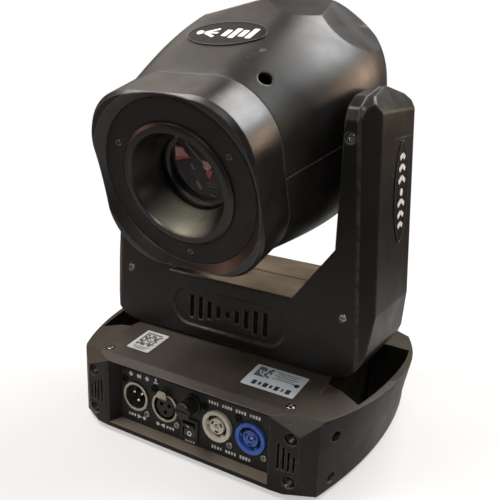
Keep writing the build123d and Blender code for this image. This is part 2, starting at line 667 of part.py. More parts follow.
# ---- yoke ----
def yoke_profile(inset):
    """Front view of the yoke's outline as a closed list of points, pulled in by inset."""
    half = [
        (0, YOKE_LOW + inset),
        (90.0, YOKE_LOW + inset),
        (98.5 - inset * 0.4, YOKE_LOW + 2.4 + inset * 0.9),
        (104.8 - inset * 0.7, YOKE_LOW + 8.6 + inset * 0.7),
        (108.8 - inset * 0.9, YOKE_LOW + 18.0 + inset * 0.4),
        (SIDE_FACE_LOW_X - inset, SIDE_FACE_LOW_Z),
        (SIDE_FACE_HIGH_X - inset, SIDE_FACE_HIGH_Z - inset * 0.4),
        (CROWN_X - inset * 0.4, ARM_TOP_Z + 1.0 - inset),
        (ARM_IN_X + 3.0 + inset, ARM_TOP_Z + 1.0 - inset),
        (ARM_IN_X + inset, ARM_TOP_Z - 6.0 - inset),
        (ARM_IN_X + inset, ARM_CHAMFER_Z + inset * 0.4),
        (CROSS_CHAMFER_X + inset * 0.4, CROSS_TOP - inset),
        (0, CROSS_TOP - inset),
    ]
    left = [(-x, z) for x, z in reversed(half[1:-1])]
    return half + left


def arm_side_profile(inset):
    """Side view of an arm's outline: straight up to the shoulders, then bevels to the crown."""
    half = [
        (YOKE_HALF_Y - inset, 40.0),
        (YOKE_HALF_Y - inset, ARM_SHOULDER_Z),
        (YOKE_HALF_Y - 3.2 - inset * 0.8, ARM_SHOULDER_Z + 8.0 - inset * 0.5),
        (27.0 - inset * 0.4, ARM_TOP_Z - 5.3 - inset * 0.9),
        (3.0, ARM_TOP_Z - inset),
    ]
    return half + [(-y, z) for y, z in reversed(half)]


def arm_band_cut(inset):
    """Slab that bevels one long edge of one arm between its front face and its side face."""
    p = (SEAM_HIGH_X - inset * 0.6, -YOKE_HALF_Y + inset * 0.6, ARM_TOP_Z)
    q = (SEAM_LOW_X - inset * 0.6, -YOKE_HALF_Y + inset * 0.6, SEAM_LOW_Z)
    r = (SIDE_FACE_HIGH_X - inset, -SIDE_FACE_HALF_Y, ARM_TOP_Z)
    return cutter(p, q, r, (60, 0, 150))


def yoke_solid(inset):
    """The yoke's outer form, or the same form pulled in by inset for its hollow."""
    body = prism_xz(yoke_profile(inset), -YOKE_HALF_Y + inset, YOKE_HALF_Y - inset)
    body = body & prism_yz(arm_side_profile(inset), -200, 200)
    cut = arm_band_cut(inset)
    for piece in (cut, mirror(cut, Plane.YZ), mirror(cut, Plane.XZ), mirror(mirror(cut, Plane.YZ), Plane.XZ)):
        body -= piece
    return body


def seam_slab(side):
    """Space outside the seam between an arm's inner shell and its outer cover."""
    slope = (SEAM_LOW_X - SEAM_HIGH_X) / (ARM_TOP_Z - SEAM_LOW_Z)
    top_x = SEAM_HIGH_X - slope * 3.0
    low_x = SEAM_LOW_X + slope * (SEAM_LOW_Z - 60.0)
    return prism_xz([(side * top_x, ARM_TOP_Z + 3), (side * low_x, 60), (side * 160, 60),
                     (side * 160, ARM_TOP_Z + 3)], -80, 80)


def vent_pocket():
    """Stadium-shaped recess of the cross member's front and its nine slots."""
    outline = Plane(origin=(0, -YOKE_HALF_Y, 89.5), x_dir=(1, 0, 0), z_dir=(0, -1, 0))
    recess = extrude(outline * SlotOverall(98.0, 30.0), amount=1.4, both=True)
    slots = Part()
    for i, half in enumerate((9.0, 9.0, 6.8, 4.6, 2.2, 4.6, 6.8, 9.0, 9.0)):
        x = 8.1 * (i - 4)
        slots += block(x - 1.9, x + 1.9, -YOKE_HALF_Y - 2, -YOKE_HALF_Y + 8, 89.5 - half, 89.5 + half)
    return recess + slots


def yoke_shell():
    """Whole inner shell of the yoke, before it is split at the seam in the middle."""
    shell = yoke_solid(0.0) - yoke_solid(YOKE_WALL)
    shell -= seam_slab(1)
    shell -= seam_slab(-1)
    vents = vent_pocket()
    shell -= vents
    shell -= mirror(vents, Plane.XZ)
    shell -= rod(PAN_SHAFT_R + 6, 60, 75)
    for side in (-1, 1):
        shell -= rod_x(TILT_SHAFT_R + 3, side * 80, side * 88, 0, TILT_Z)
    for x, z in YOKE_SCREWS:
        for side in (-1, 1):
            shell -= rod_y(3.4, -YOKE_HALF_Y - 1, -YOKE_HALF_Y + 1.6, side * x, z)
            shell -= rod_y(3.4, YOKE_HALF_Y - 1.6, YOKE_HALF_Y + 1, side * x, z)
            shell -= rod_y(1.3, -60, 60, side * x, z)
    return shell


def yoke_front_shell():
    return yoke_shell() & block(-150, 150, -60, 0, 40, 280)


def yoke_rear_shell():
    return yoke_shell() & block(-150, 150, 0, 60, 40, 280)


def arm_cover(side):
    cover = (yoke_solid(0.0) - yoke_solid(YOKE_WALL)) & seam_slab(side)
    return cover


def yoke_frame():
    """Inner steel frame: a foot plate on the pan shaft and an upright in each arm."""
    x0, x1 = FRAME_PLATE_X
    upright = block(x0, x1, -22, 22, 69.5, 245)
    upright -= rod_x(TILT_BEARING_R, x0 - 2, x1 + 2, 0, TILT_Z)
    for z in (130.0, 160.0, 190.0):
        upright -= rod_x(9.0, x0 - 2, x1 + 2, 0, z)
    left = mirror(upright, Plane.YZ)
    upright -= rod_x(11.5, x0 - 2, x1 + 2, 0, TILT_MOTOR_Z)
    foot = block(-x0, x0, -30, 30, 69.5, 72.5) - rod(PAN_SHAFT_R + RUNNING, 60, 80)
    return upright + left + foot


def pan_shaft():
    """Hollow shaft with its flange under the frame's foot and the large belt pulley at its lower end."""
    shaft = rod(PAN_SHAFT_R, PAN_BELT_LOW - 2, 72.5)
    shaft += rod(PAN_SHAFT_R + 4.5, 72.5, 75.0)
    wheel = rod(PAN_PULLEY_R, PAN_BELT_LOW, PAN_BELT_HIGH)
    for i in range(90):
        wheel -= Rot(0, 0, 4 * i) * Pos(PAN_PULLEY_R, 0, 48) * Cylinder(0.5, 12)
    for level in (PAN_BELT_LOW - 1.2, PAN_BELT_HIGH):
        wheel += rod(PAN_PULLEY_R + 2, level, level + 1.2)
    for i in range(6):
        wheel -= Rot(0, 0, 60 * i) * Pos(25, 0, 48) * Cylinder(5.5, 16)
    return shaft + wheel - rod(PAN_BORE_R, 0, 100)


def tilt_motor():
    return Pos(FRAME_PLATE_X[0], 0, TILT_MOTOR_Z) * Rot(0, 90, 0) * motor(34.0)


def tilt_pinion():
    x0, x1 = TILT_BELT_X
    wheel = toothed_pinion(x0, x1) + rod(2.5, FRAME_PLATE_X[0] + 0.2, x0)
    return Pos(0, 0, TILT_MOTOR_Z) * Rot(0, 90, 0) * wheel


def tilt_belt():
    x0, x1 = TILT_BELT_X
    loop = belt_loop(TILT_PULLEY_R, PINION_R, TILT_Z - TILT_MOTOR_Z, x0 + 0.8, x1 - 0.8)
    return Pos(0, 0, TILT_Z) * Rot(0, 90, 0) * loop


def tilt_bearings():
    x0, x1 = FRAME_PLATE_X
    ring = rod_x(TILT_BEARING_R, x0 - 0.6, x1 + 0.6, 0, TILT_Z)
    ring -= rod_x(TILT_SHAFT_R + RUNNING, x0 - 3, x1 + 3, 0, TILT_Z)
    return mirrored_x(ring)


def yoke_screws():
    screws = Part()
    for x, z in YOKE_SCREWS:
        for side in (-1, 1):
            for face in (-1, 1):
                spot = Pos(side * x, face * (YOKE_HALF_Y - 1.6), z) * Rot(-90 * face, 0, 0)
                screws += spot * phillips_screw(3.1, 1.3, 1.25, 8.0)
    return screws


# ---- head, built about the tilt axis with local +Z forward and local +Y up ----
def facet_slab(facet, inset, side):
    """Slab outside one flat facet, or its mirror image for side -1."""
    (nx, ny, nz), distance = facet
    normal = Vector(side * nx, ny, nz).normalized()
    plane = Plane(origin=normal * (distance - inset), z_dir=normal)
    return plane.location * Pos(0, 0, 30) * Box(400, 400, 60)


def head_hull(sections, inset):
    grown = []
    for height, half_x, half_y, corner in sections:
        grown.append((height, half_x - inset, half_y - inset, corner - inset))
    hull = rounded_loft(grown)
    for side in (-1, 1):
        hull -= facet_slab(TOP_FACET, inset, side)
        hull -= facet_slab(SIDE_FACET, inset, side)
    return hull


def side_hole(side):
    """Screw tunnel through the shoulder of the head's shell, square to its surface."""
    x, y, z = HEAD_SIDE_HOLE
    aim = math.degrees(math.atan2(y - 20.0, x - 20.0))
    return Pos(side * x, y, z) * Rot(0, 0, aim if side > 0 else 180 - aim) * Rot(0, 90, 0) * Cylinder(
        HEAD_SIDE_HOLE_R, 16)


def head_shell():
    """Barrel of the head, hollow from end to end, before it is split into upper and lower shells."""
    shell = head_hull(HEAD_SECTIONS, 0.0)
    shell -= head_hull(HEAD_SECTIONS, HEAD_WALL)
    for side in (-1, 1):
        shell -= rod_x(TILT_SHAFT_R + 1.2, side * 70, side * 84, 0, 0)
        shell -= side_hole(side)
    return shell


def head_upper_shell():
    return in_head(head_shell() & block(-100, 100, 0, 100, -120, 120))


def head_lower_shell():
    return in_head(head_shell() & block(-100, 100, -100, 0, -120, 120))


def rear_cap():
    """Closed rear end of the head with cooling slots in its back and its upper shoulders."""
    mouth, middle, end = CAP_SECTIONS
    hollow = ((mouth[0] + 0.1,) + mouth[1:], middle, (end[0] + HEAD_WALL,) + end[1:])
    cap = head_hull(CAP_SECTIONS, 0.0) - head_hull(hollow, HEAD_WALL)
    for i in range(7):
        x = 7.0 * (i - 3)
        cap -= block(x - 1.6, x + 1.6, -22, 22, end[0] - 8, end[0] + 8)
    for side in (-1, 1):
        for step in range(3):
            slot = Pos(side * (46.0 - 4.0 * step), 48.0 - 4.0 * step, mouth[0] - 5.5 - 5.0 * step)
            cap -= slot * Rot(0, 0, side * -45) * Box(17, 30, 2.4)
    return in_head(cap)


def head_bezel():
    """Rounded-square front frame whose face is dished down to the round disc."""
    outer = rounded_loft(((BEZEL_REAR, BEZEL_HALF + 1, BEZEL_HALF + 1, BEZEL_CORNER + 3),
                          (BEZEL_FRONT - 3, BEZEL_HALF, BEZEL_HALF, BEZEL_CORNER)))
    nose = rounded_loft(((BEZEL_FRONT - 3, BEZEL_HALF, BEZEL_HALF, BEZEL_CORNER),
                         (BEZEL_FRONT, BEZEL_HALF - 2, BEZEL_HALF - 2, BEZEL_CORNER - 1)))
    body = outer + nose
    body -= rod(DISC_R + 0.3, DISC_FRONT - 3.4, BEZEL_FRONT + 5)
    body -= rod(DISC_R - 3.0, BEZEL_REAR - 5, BEZEL_FRONT)
    rise = BEZEL_FRONT - DISC_FRONT
    dish = Pos(0, 0, DISC_FRONT + rise / 2) * Cone(DISC_R + 0.3, DISC_R + 6.5, rise)
    body -= dish
    hollow = rounded_loft(((BEZEL_REAR - 1, BEZEL_HALF - 2, BEZEL_HALF - 2, BEZEL_CORNER + 1),
                           (DISC_FRONT - 6.4, BEZEL_HALF - 3, BEZEL_HALF - 3, BEZEL_CORNER - 1)))
    return in_head(body - hollow)


def lens_disc():
    plate = tube(DISC_R, RING_R, DISC_FRONT - 3.4, DISC_FRONT)
    for angle in (-90, 30, 150):
        plate -= Rot(0, 0, angle) * rod(1.4, 90, 120, DISC_SCREW_R)
        plate -= Rot(0, 0, angle) * rod(2.9, DISC_FRONT - 1.0, 120, DISC_SCREW_R)
    return in_head(plate)


def lens_cone():
    """Raised ring and the funnel behind it that holds the front lens."""
    points = [(RING_R, DISC_FRONT - 3.4), (RING_R, DISC_FRONT + 1.2), (RING_R - 2.2, DISC_FRONT + 2.6),
              (CONE_R + 1.0, DISC_FRONT + 2.6), (CONE_R, DISC_FRONT + 1.4), (THROAT_R, THROAT_L),
              (THROAT_R, THROAT_L - 3.0), (THROAT_R + 5.0, THROAT_L - 3.0), (THROAT_R + 5.0, THROAT_L - 9.0),
              (THROAT_R + 7.5, THROAT_L - 9.0), (THROAT_R + 7.5, THROAT_L + 1.0)]
    face = make_face(Polyline(*[(r, 0, height) for r, height in points], close=True))
    return in_head(revolve(face, Axis.Z))


def front_lens():
    """Thick plano-convex front lens, seated behind the funnel's throat."""
    edge, rim = THROAT_R + 4.9, THROAT_R - 0.2
    seat, back, crown = THROAT_L - 3.1, THROAT_L - 9.0, THROAT_L + 0.6
    rise = crown - seat
    dome_r = (rim ** 2 + rise ** 2) / (2 * rise)
    dome = rod(rim, seat, crown + 1) & Pos(0, 0, crown - dome_r) * Sphere(dome_r)
    return in_head(rod(edge, back, seat) + dome)


def head_screws():
    screws = Part()
    for angle in (-90, 30, 150):
        spot = Rot(0, 0, angle) * Pos(DISC_SCREW_R, 0, DISC_FRONT - 1.0)
        screws += spot * phillips_screw(2.6, 1.2, 1.3, 6.0)
    return in_head(screws)


def head_frame():
    """Two side plates joined by cross plates, with the focus rods between them."""
    side = block(FRAME_X, FRAME_X + 3, -26, 26, -72, 74)
    for height in (-30.0, 34.0, 58.0):
        side -= rod_x(8.0, FRAME_X - 2, FRAME_X + 6, 0, height)
    frame = mirrored_x(side)
    for height in (-7.0, 74.0):
        plate = block(-FRAME_X - 3, FRAME_X + 3, -40, 40, height, height + 3)
        frame += plate - rod(24.0 if height > 0 else 9.0, height - 2, height + 6)
    for side in (-1, 1):
        frame += rod(FOCUS_ROD_R, -4, 76, side * FOCUS_ROD_X, FOCUS_ROD_Y)
    frame += rod(PRISM_PIN_R, 33, 76, *PRISM_PIVOT)
    return in_head(frame)


def tilt_shafts():
    """Hollow shafts bolted to the head frame, with the belt pulley on the right one."""
    shaft = rod_x(TILT_SHAFT_R, FRAME_X + 3, 91.4, 0, 0) + rod_x(15.0, FRAME_X + 3, FRAME_X + 7, 0, 0)
    x0, x1 = TILT_BELT_X
    pulley = rod_x(TILT_PULLEY_R, x0, x1, 0, 0) + rod_x(TILT_PULLEY_R + 1.8, x1, x1 + 0.8, 0, 0)
    pulley += rod_x(TILT_PULLEY_R + 1.8, x0 - 0.8, x0, 0, 0) + rod_x(TILT_SHAFT_R, 91.0, x0, 0, 0)
    for i in range(60):
        spot = Rot(6 * i, 0, 0) * Pos((x0 + x1) / 2, TILT_PULLEY_R, 0) * Rot(0, 90, 0)
        pulley -= spot * Cylinder(0.45, x1 - x0)
    right = shaft + pulley - rod_x(TILT_BORE_R, 0, 120, 0, 0)
    left = mirror(shaft, Plane.YZ) - rod_x(TILT_BORE_R, -120, 0, 0, 0)
    return in_head(right + left)


def led_module():
    board = block(-24, 24, -24, 24, -12.0, -9.0) + rod(8.5, -9.0, -7.2)
    collimator = rod(8.0, -7.2, 6.0)
    return in_head(board + chamfer(collimator.edges().group_by(Axis.Z)[-1], 1.0))


def heat_sink():
    block_base = block(-38, 38, -38, 38, -20, -12)
    for i in range(13):
        x = -36 + 6 * i
        block_base += block(x - 0.8, x + 0.8, -38, 38, -62, -20)
    return in_head(block_base)


def fan_frame():
    frame = block(-38, 38, -38, 38, -84, -66) - rod(36, -90, -60)
    hub = rod(14, -68.5, -66)
    for i in range(4):
        hub += Rot(0, 0, 45 + 90 * i) * block(12, 40, -1.6, 1.6, -68.5, -66)
    return in_head(frame + hub)


def fan_rotor():
    hub = rod(13, -82, -69.5)
    for i in range(9):
        blade = Rot(0, 0, 40 * i) * Pos(23, 0, -75.8) * Rot(28, 0, 0) * Box(23, 15, 1.2)
        hub += blade
    return in_head(hub)


def filter_wheel(height, offset, hole_r):
    """Wheel with eight beam holes, on a motor shaft beside the beam."""
    wheel = rod(WHEEL_R, height, height + 1.5) + rod(4.0, height, height + 4.0)
    wheel -= rod(WHEEL_SHAFT_R + RUNNING, height - 1, height + 6)
    for i in range(8):
        wheel -= Rot(0, 0, 45 * i + 90) * rod(hole_r, height - 1, height + 3, WHEEL_OFFSET)
    return Pos(0, offset, 0) * wheel


def wheel_motors():
    """Two small motors behind the wheels, and the focus drive motor beside the rods."""
    pair = Part()
    for offset, face in ((WHEEL_OFFSET, 14.0), (-WHEEL_OFFSET, 20.0)):
        pair += Pos(0, offset, 0) * (rod(10.0, -4.0, face - 4) + rod(WHEEL_SHAFT_R, face - 4, face + 7))
    return in_head(pair)


def focus_carriage():
    """Focusing lens in its ring, on a plate that slides on the two rods."""
    plate = block(-40.5, 40.5, -38, 14, 50, 53) + rod(21.0, 48, 60) - rod(19.0, 40, 70)
    for side in (-1, 1):
        plate += rod(3.6, 47, 57, side * FOCUS_ROD_X, FOCUS_ROD_Y)
    for side in (-1, 1):
        plate -= rod(FOCUS_ROD_R + RUNNING, 40, 70, side * FOCUS_ROD_X, FOCUS_ROD_Y)
    return in_head(plate + rod(19.0, 50.5, 54.5))


def prism_arm():
    """Prism on its swing arm, parked beside the beam."""
    px, py = PRISM_PIVOT
    reach = math.hypot(px, py)
    arm = rod(4.0, 36, 41, px, py) + block(px - 3, px + 3, py - reach + 8, py, 37, 39.5)
    arm += rod(11.0, 36, 42, px, py - reach)
    return in_head(arm - rod(PRISM_PIN_R + RUNNING, 30, 50, px, py))


NODES = {
    "base_shell": base_shell,
    "bottom_tray": bottom_tray,
    "rubber_feet": rubber_feet,
    "case_screws": case_screws,
    "connector_panel": connector_panel,
    "panel_screws": panel_screws,
    "signal_inlet_shell": signal_inlet_shell,
    "signal_outlet_shell": signal_outlet_shell,
    "signal_inserts": signal_inserts,
    "signal_pins": signal_pins,
    "outlet_latch": outlet_latch,
    "power_outlet": lambda: power_connector(POWER_X[0]),
    "power_inlet": lambda: power_connector(POWER_X[1]),
    "fuse_holder": fuse_holder,
    "fuse_cap": fuse_cap,
    "switch_body": switch_body,
    "switch_rocker": switch_rocker,
    "display_panel": display_panel,
    "display_window": display_window,
    "control_board": control_board,
    "power_supply": power_supply,
    "pan_motor": pan_motor,
    "pan_pinion": pan_pinion,
    "pan_belt": pan_belt,
    "pan_bearing": pan_bearing,
    "yoke_front_shell": yoke_front_shell,
    "yoke_rear_shell": yoke_rear_shell,
    "arm_cover_right": lambda: arm_cover(1),
    "arm_cover_left": lambda: arm_cover(-1),
    "yoke_frame": yoke_frame,
    "pan_shaft": pan_shaft,
    "tilt_motor": tilt_motor,
    "tilt_pinion": tilt_pinion,
    "tilt_belt": tilt_belt,
    "tilt_bearings": tilt_bearings,
    "yoke_screws": yoke_screws,
    "head_upper_shell": head_upper_shell,
    "head_lower_shell": head_lower_shell,
    "rear_cap": rear_cap,
    "head_bezel": head_bezel,
    "lens_disc": lens_disc,
    "lens_cone": lens_cone,
    "front_lens": front_lens,
    "head_screws": head_screws,
    "head_frame": head_frame,
    "tilt_shafts": tilt_shafts,
    "led_module": led_module,
    "heat_sink": heat_sink,
    "fan_frame": fan_frame,
    "fan_rotor": fan_rotor,
    "color_wheel": lambda: in_head(filter_wheel(17.0, WHEEL_OFFSET, 7.5)),
    "gobo_wheel": lambda: in_head(filter_wheel(23.0, -WHEEL_OFFSET, 7.0)),
    "wheel_motors": wheel_motors,
    "focus_carriage": focus_carriage,
    "prism_arm": prism_arm,
}
for name, x in BUTTONS.items():
    NODES[name] = lambda x=x: menu_button(x)

os.makedirs("parts", exist_ok=True)
for name, maker in NODES.items():
    export_step(maker(), "parts/" + name + ".step")
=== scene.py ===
import json
import math
import random

import bmesh
import bpy
from mathutils import Matrix, Vector
from mathutils.bvhtree import BVHTree


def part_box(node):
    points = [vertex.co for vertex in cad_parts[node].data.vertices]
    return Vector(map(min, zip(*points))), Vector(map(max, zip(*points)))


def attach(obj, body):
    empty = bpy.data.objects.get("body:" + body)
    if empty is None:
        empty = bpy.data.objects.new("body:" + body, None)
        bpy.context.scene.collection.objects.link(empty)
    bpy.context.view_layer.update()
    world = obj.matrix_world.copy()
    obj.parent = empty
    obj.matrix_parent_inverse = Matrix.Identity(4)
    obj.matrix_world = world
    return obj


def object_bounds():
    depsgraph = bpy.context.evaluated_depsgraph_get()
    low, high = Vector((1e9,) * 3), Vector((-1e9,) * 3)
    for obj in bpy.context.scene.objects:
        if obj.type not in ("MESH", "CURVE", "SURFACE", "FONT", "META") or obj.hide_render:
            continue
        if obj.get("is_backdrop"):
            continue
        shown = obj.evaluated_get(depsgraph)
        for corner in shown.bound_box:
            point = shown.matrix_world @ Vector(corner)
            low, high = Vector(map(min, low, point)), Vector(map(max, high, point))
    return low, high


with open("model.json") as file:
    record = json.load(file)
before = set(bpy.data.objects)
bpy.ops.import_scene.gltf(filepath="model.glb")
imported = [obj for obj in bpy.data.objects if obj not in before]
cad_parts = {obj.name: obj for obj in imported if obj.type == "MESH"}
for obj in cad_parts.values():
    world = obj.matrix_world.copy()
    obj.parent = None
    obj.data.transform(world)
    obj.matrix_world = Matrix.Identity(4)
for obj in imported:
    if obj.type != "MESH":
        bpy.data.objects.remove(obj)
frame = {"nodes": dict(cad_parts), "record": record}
NODES = frame["nodes"]
low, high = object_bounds()
FLOOR_Z = low[2]

# ---- frame of the CAD: metres, +Z up, -Y the connector side; the head droops at rest ----
MM = 0.001
TILT = Vector((0, 0, 0.2277))
DROOP = math.radians(17.03)
HEAD_OUT = Vector((0, -math.cos(DROOP), -math.sin(DROOP)))
HEAD_UP = Vector((0, -math.sin(DROOP), math.cos(DROOP)))
X_AXIS = Vector((1, 0, 0))
Y_AXIS = Vector((0, 1, 0))
Z_AXIS = Vector((0, 0, 1))

# ---- driving dimensions of the visual pieces, in millimetres unless they end in _M ----
BADGE_HALF_WIDTH = 29.5
BADGE_HALF_HEIGHT = 15.5
BADGE_RIM = 0.6
ARM_BADGE_AT_M = (0.1069, 0.008, 0.190)
ARM_BADGE_SLOPE = (0.0043, 0.072)
ARM_BADGE_HALF = (13.0, 35.5)
ARM_BADGE_HOLE_HALF = (12.5, 34.5)
DECK_SLOPE = (0, 0.045, 0.0062)
STICKER_X = 57.5
STICKER_RIGHT_X = 54.5
STICKER_Y = -61.5
CONNECTOR_Z_M = 0.027
SIGNAL_X = (-50.0, -22.2)
ICON_Z = 44.4
SIGNAL_LABEL_Z = 10.6
BUTTON_X = (22.0, 33.0, 44.0, 55.0)
DISPLAY_X = 20.0
ROCKER_ANGLE = math.radians(10.0)
CORNER_CUP = dict(x=0.0848, y=0.0926, heights=(10.0, 42.0), radius=4.55, mouth=-2.0, end=-9.0)
SIDE_CUP = dict(x=0.104, y=0.070, heights=(9.0, 41.0), radius=3.95, mouth=-1.5, end=-7.0, angle=24)
CUP_WALL = 0.3
YOKE_WALL_M = 0.003
VENT_Z_M = 0.0895
GLINT_PLANE_OUT = 78.9


# ---- camera, light and floor ----
CAMERA_ANGLES = (30.85, 16.97, 2.06)
CAMERA_TARGET = Vector((0.00311, -0.018, 0.13188))
CAMERA_DISTANCE = 0.50618
CAMERA_LENS = 48.58
CAMERA_SHIFT = (0.0045, 0.0101)

LIGHT_TARGET = (0, 0, 0.16)
# name: place, size, watts, colour
LIGHTS = {
    "back_left": ((-0.8, 0.46, 0.95), (0.75, 0.7), 1.8, (1.0, 0.88, 0.78)),
    "back_top": ((0.2, 0.55, 1.12), (0.6, 0.4), 7.5, (1.0, 0.97, 0.94)),
    "back_right": ((0.62, 0.58, 1.0), (0.4, 0.45), 7.5, (0.95, 0.98, 1.0)),
    "low_back": ((-0.55, 0.95, 0.5), (0.4, 0.3), 0.75, (1.0, 0.74, 0.5)),
    "top_left": ((-0.45, -0.3, 1.05), (0.5, 0.4), 9, (1.0, 0.98, 0.95)),
    "key_front": ((0.35, -1.0, 0.85), (0.35, 0.35), 3.6, (1.0, 0.98, 0.95)),
    "warm_left": ((-1.0, -0.55, 0.35), (0.25, 0.8), 1.7, (1.0, 0.55, 0.42)),
    "warm_back": ((0.75, 0.9, 0.52), (0.35, 0.35), 3.5, (1.0, 0.72, 0.5)),
    "side_right": ((1.1, -0.25, 0.45), (0.3, 0.7), 0.6, (1.0, 0.96, 0.92)),
}
ROOM_COLOR = (1.0, 0.93, 0.87, 1)
ROOM_STRENGTH = 0.08


def make_camera():
    azimuth, elevation, roll = (math.radians(a) for a in CAMERA_ANGLES)
    back = Vector((math.sin(azimuth) * math.cos(elevation),
                   -math.cos(azimuth) * math.cos(elevation), math.sin(elevation)))
    right = (-back).cross(Z_AXIS).normalized()
    up = right.cross(-back)
    rolled_right = right * math.cos(roll) + up * math.sin(roll)
    rolled_up = up * math.cos(roll) - right * math.sin(roll)
    data = bpy.data.cameras.new("camera")
    data.sensor_width = 36
    data.lens = CAMERA_LENS
    data.shift_x, data.shift_y = CAMERA_SHIFT
    data.clip_start = 0.01
    data.clip_end = 50
    camera = bpy.data.objects.new("camera", data)
    rotation = Matrix((rolled_right, rolled_up, back)).transposed().to_4x4()
    camera.matrix_world = Matrix.Translation(CAMERA_TARGET + back * CAMERA_DISTANCE) @ rotation
    bpy.context.scene.collection.objects.link(camera)
    bpy.context.scene.camera = camera


def make_lights():
    for name, (place, size, watts, color) in LIGHTS.items():
        data = bpy.data.lights.new(name, "AREA")
        data.shape = "RECTANGLE"
        data.size, data.size_y = size
        data.energy = watts
        data.color = color
        lamp = bpy.data.objects.new(name, data)
        lamp.location = place
        lamp.rotation_euler = (Vector(LIGHT_TARGET) - Vector(place)).to_track_quat("-Z", "Y").to_euler()
        bpy.context.scene.collection.objects.link(lamp)


def make_world():
    """White surroundings for the camera, a dim warm room for everything else."""
    world = bpy.data.worlds.new("studio")
    bpy.context.scene.world = world
    world.use_nodes = True
    nodes, links = world.node_tree.nodes, world.node_tree.links
    seen = nodes["Background"]
    seen.inputs["Color"].default_value = (1, 1, 1, 1)
    seen.inputs["Strength"].default_value = 1.0
    room = nodes.new("ShaderNodeBackground")
    room.inputs["Color"].default_value = ROOM_COLOR
    room.inputs["Strength"].default_value = ROOM_STRENGTH
    blend = nodes.new("ShaderNodeMixShader")
    links.new(nodes.new("ShaderNodeLightPath").outputs["Is Camera Ray"], blend.inputs["Fac"])
    links.new(room.outputs[0], blend.inputs[1])
    links.new(seen.outputs[0], blend.inputs[2])
    links.new(blend.outputs[0], nodes["World Output"].inputs["Surface"])
    view = bpy.context.scene.view_settings
    view.view_transform = "Standard"
    view.look = "None"


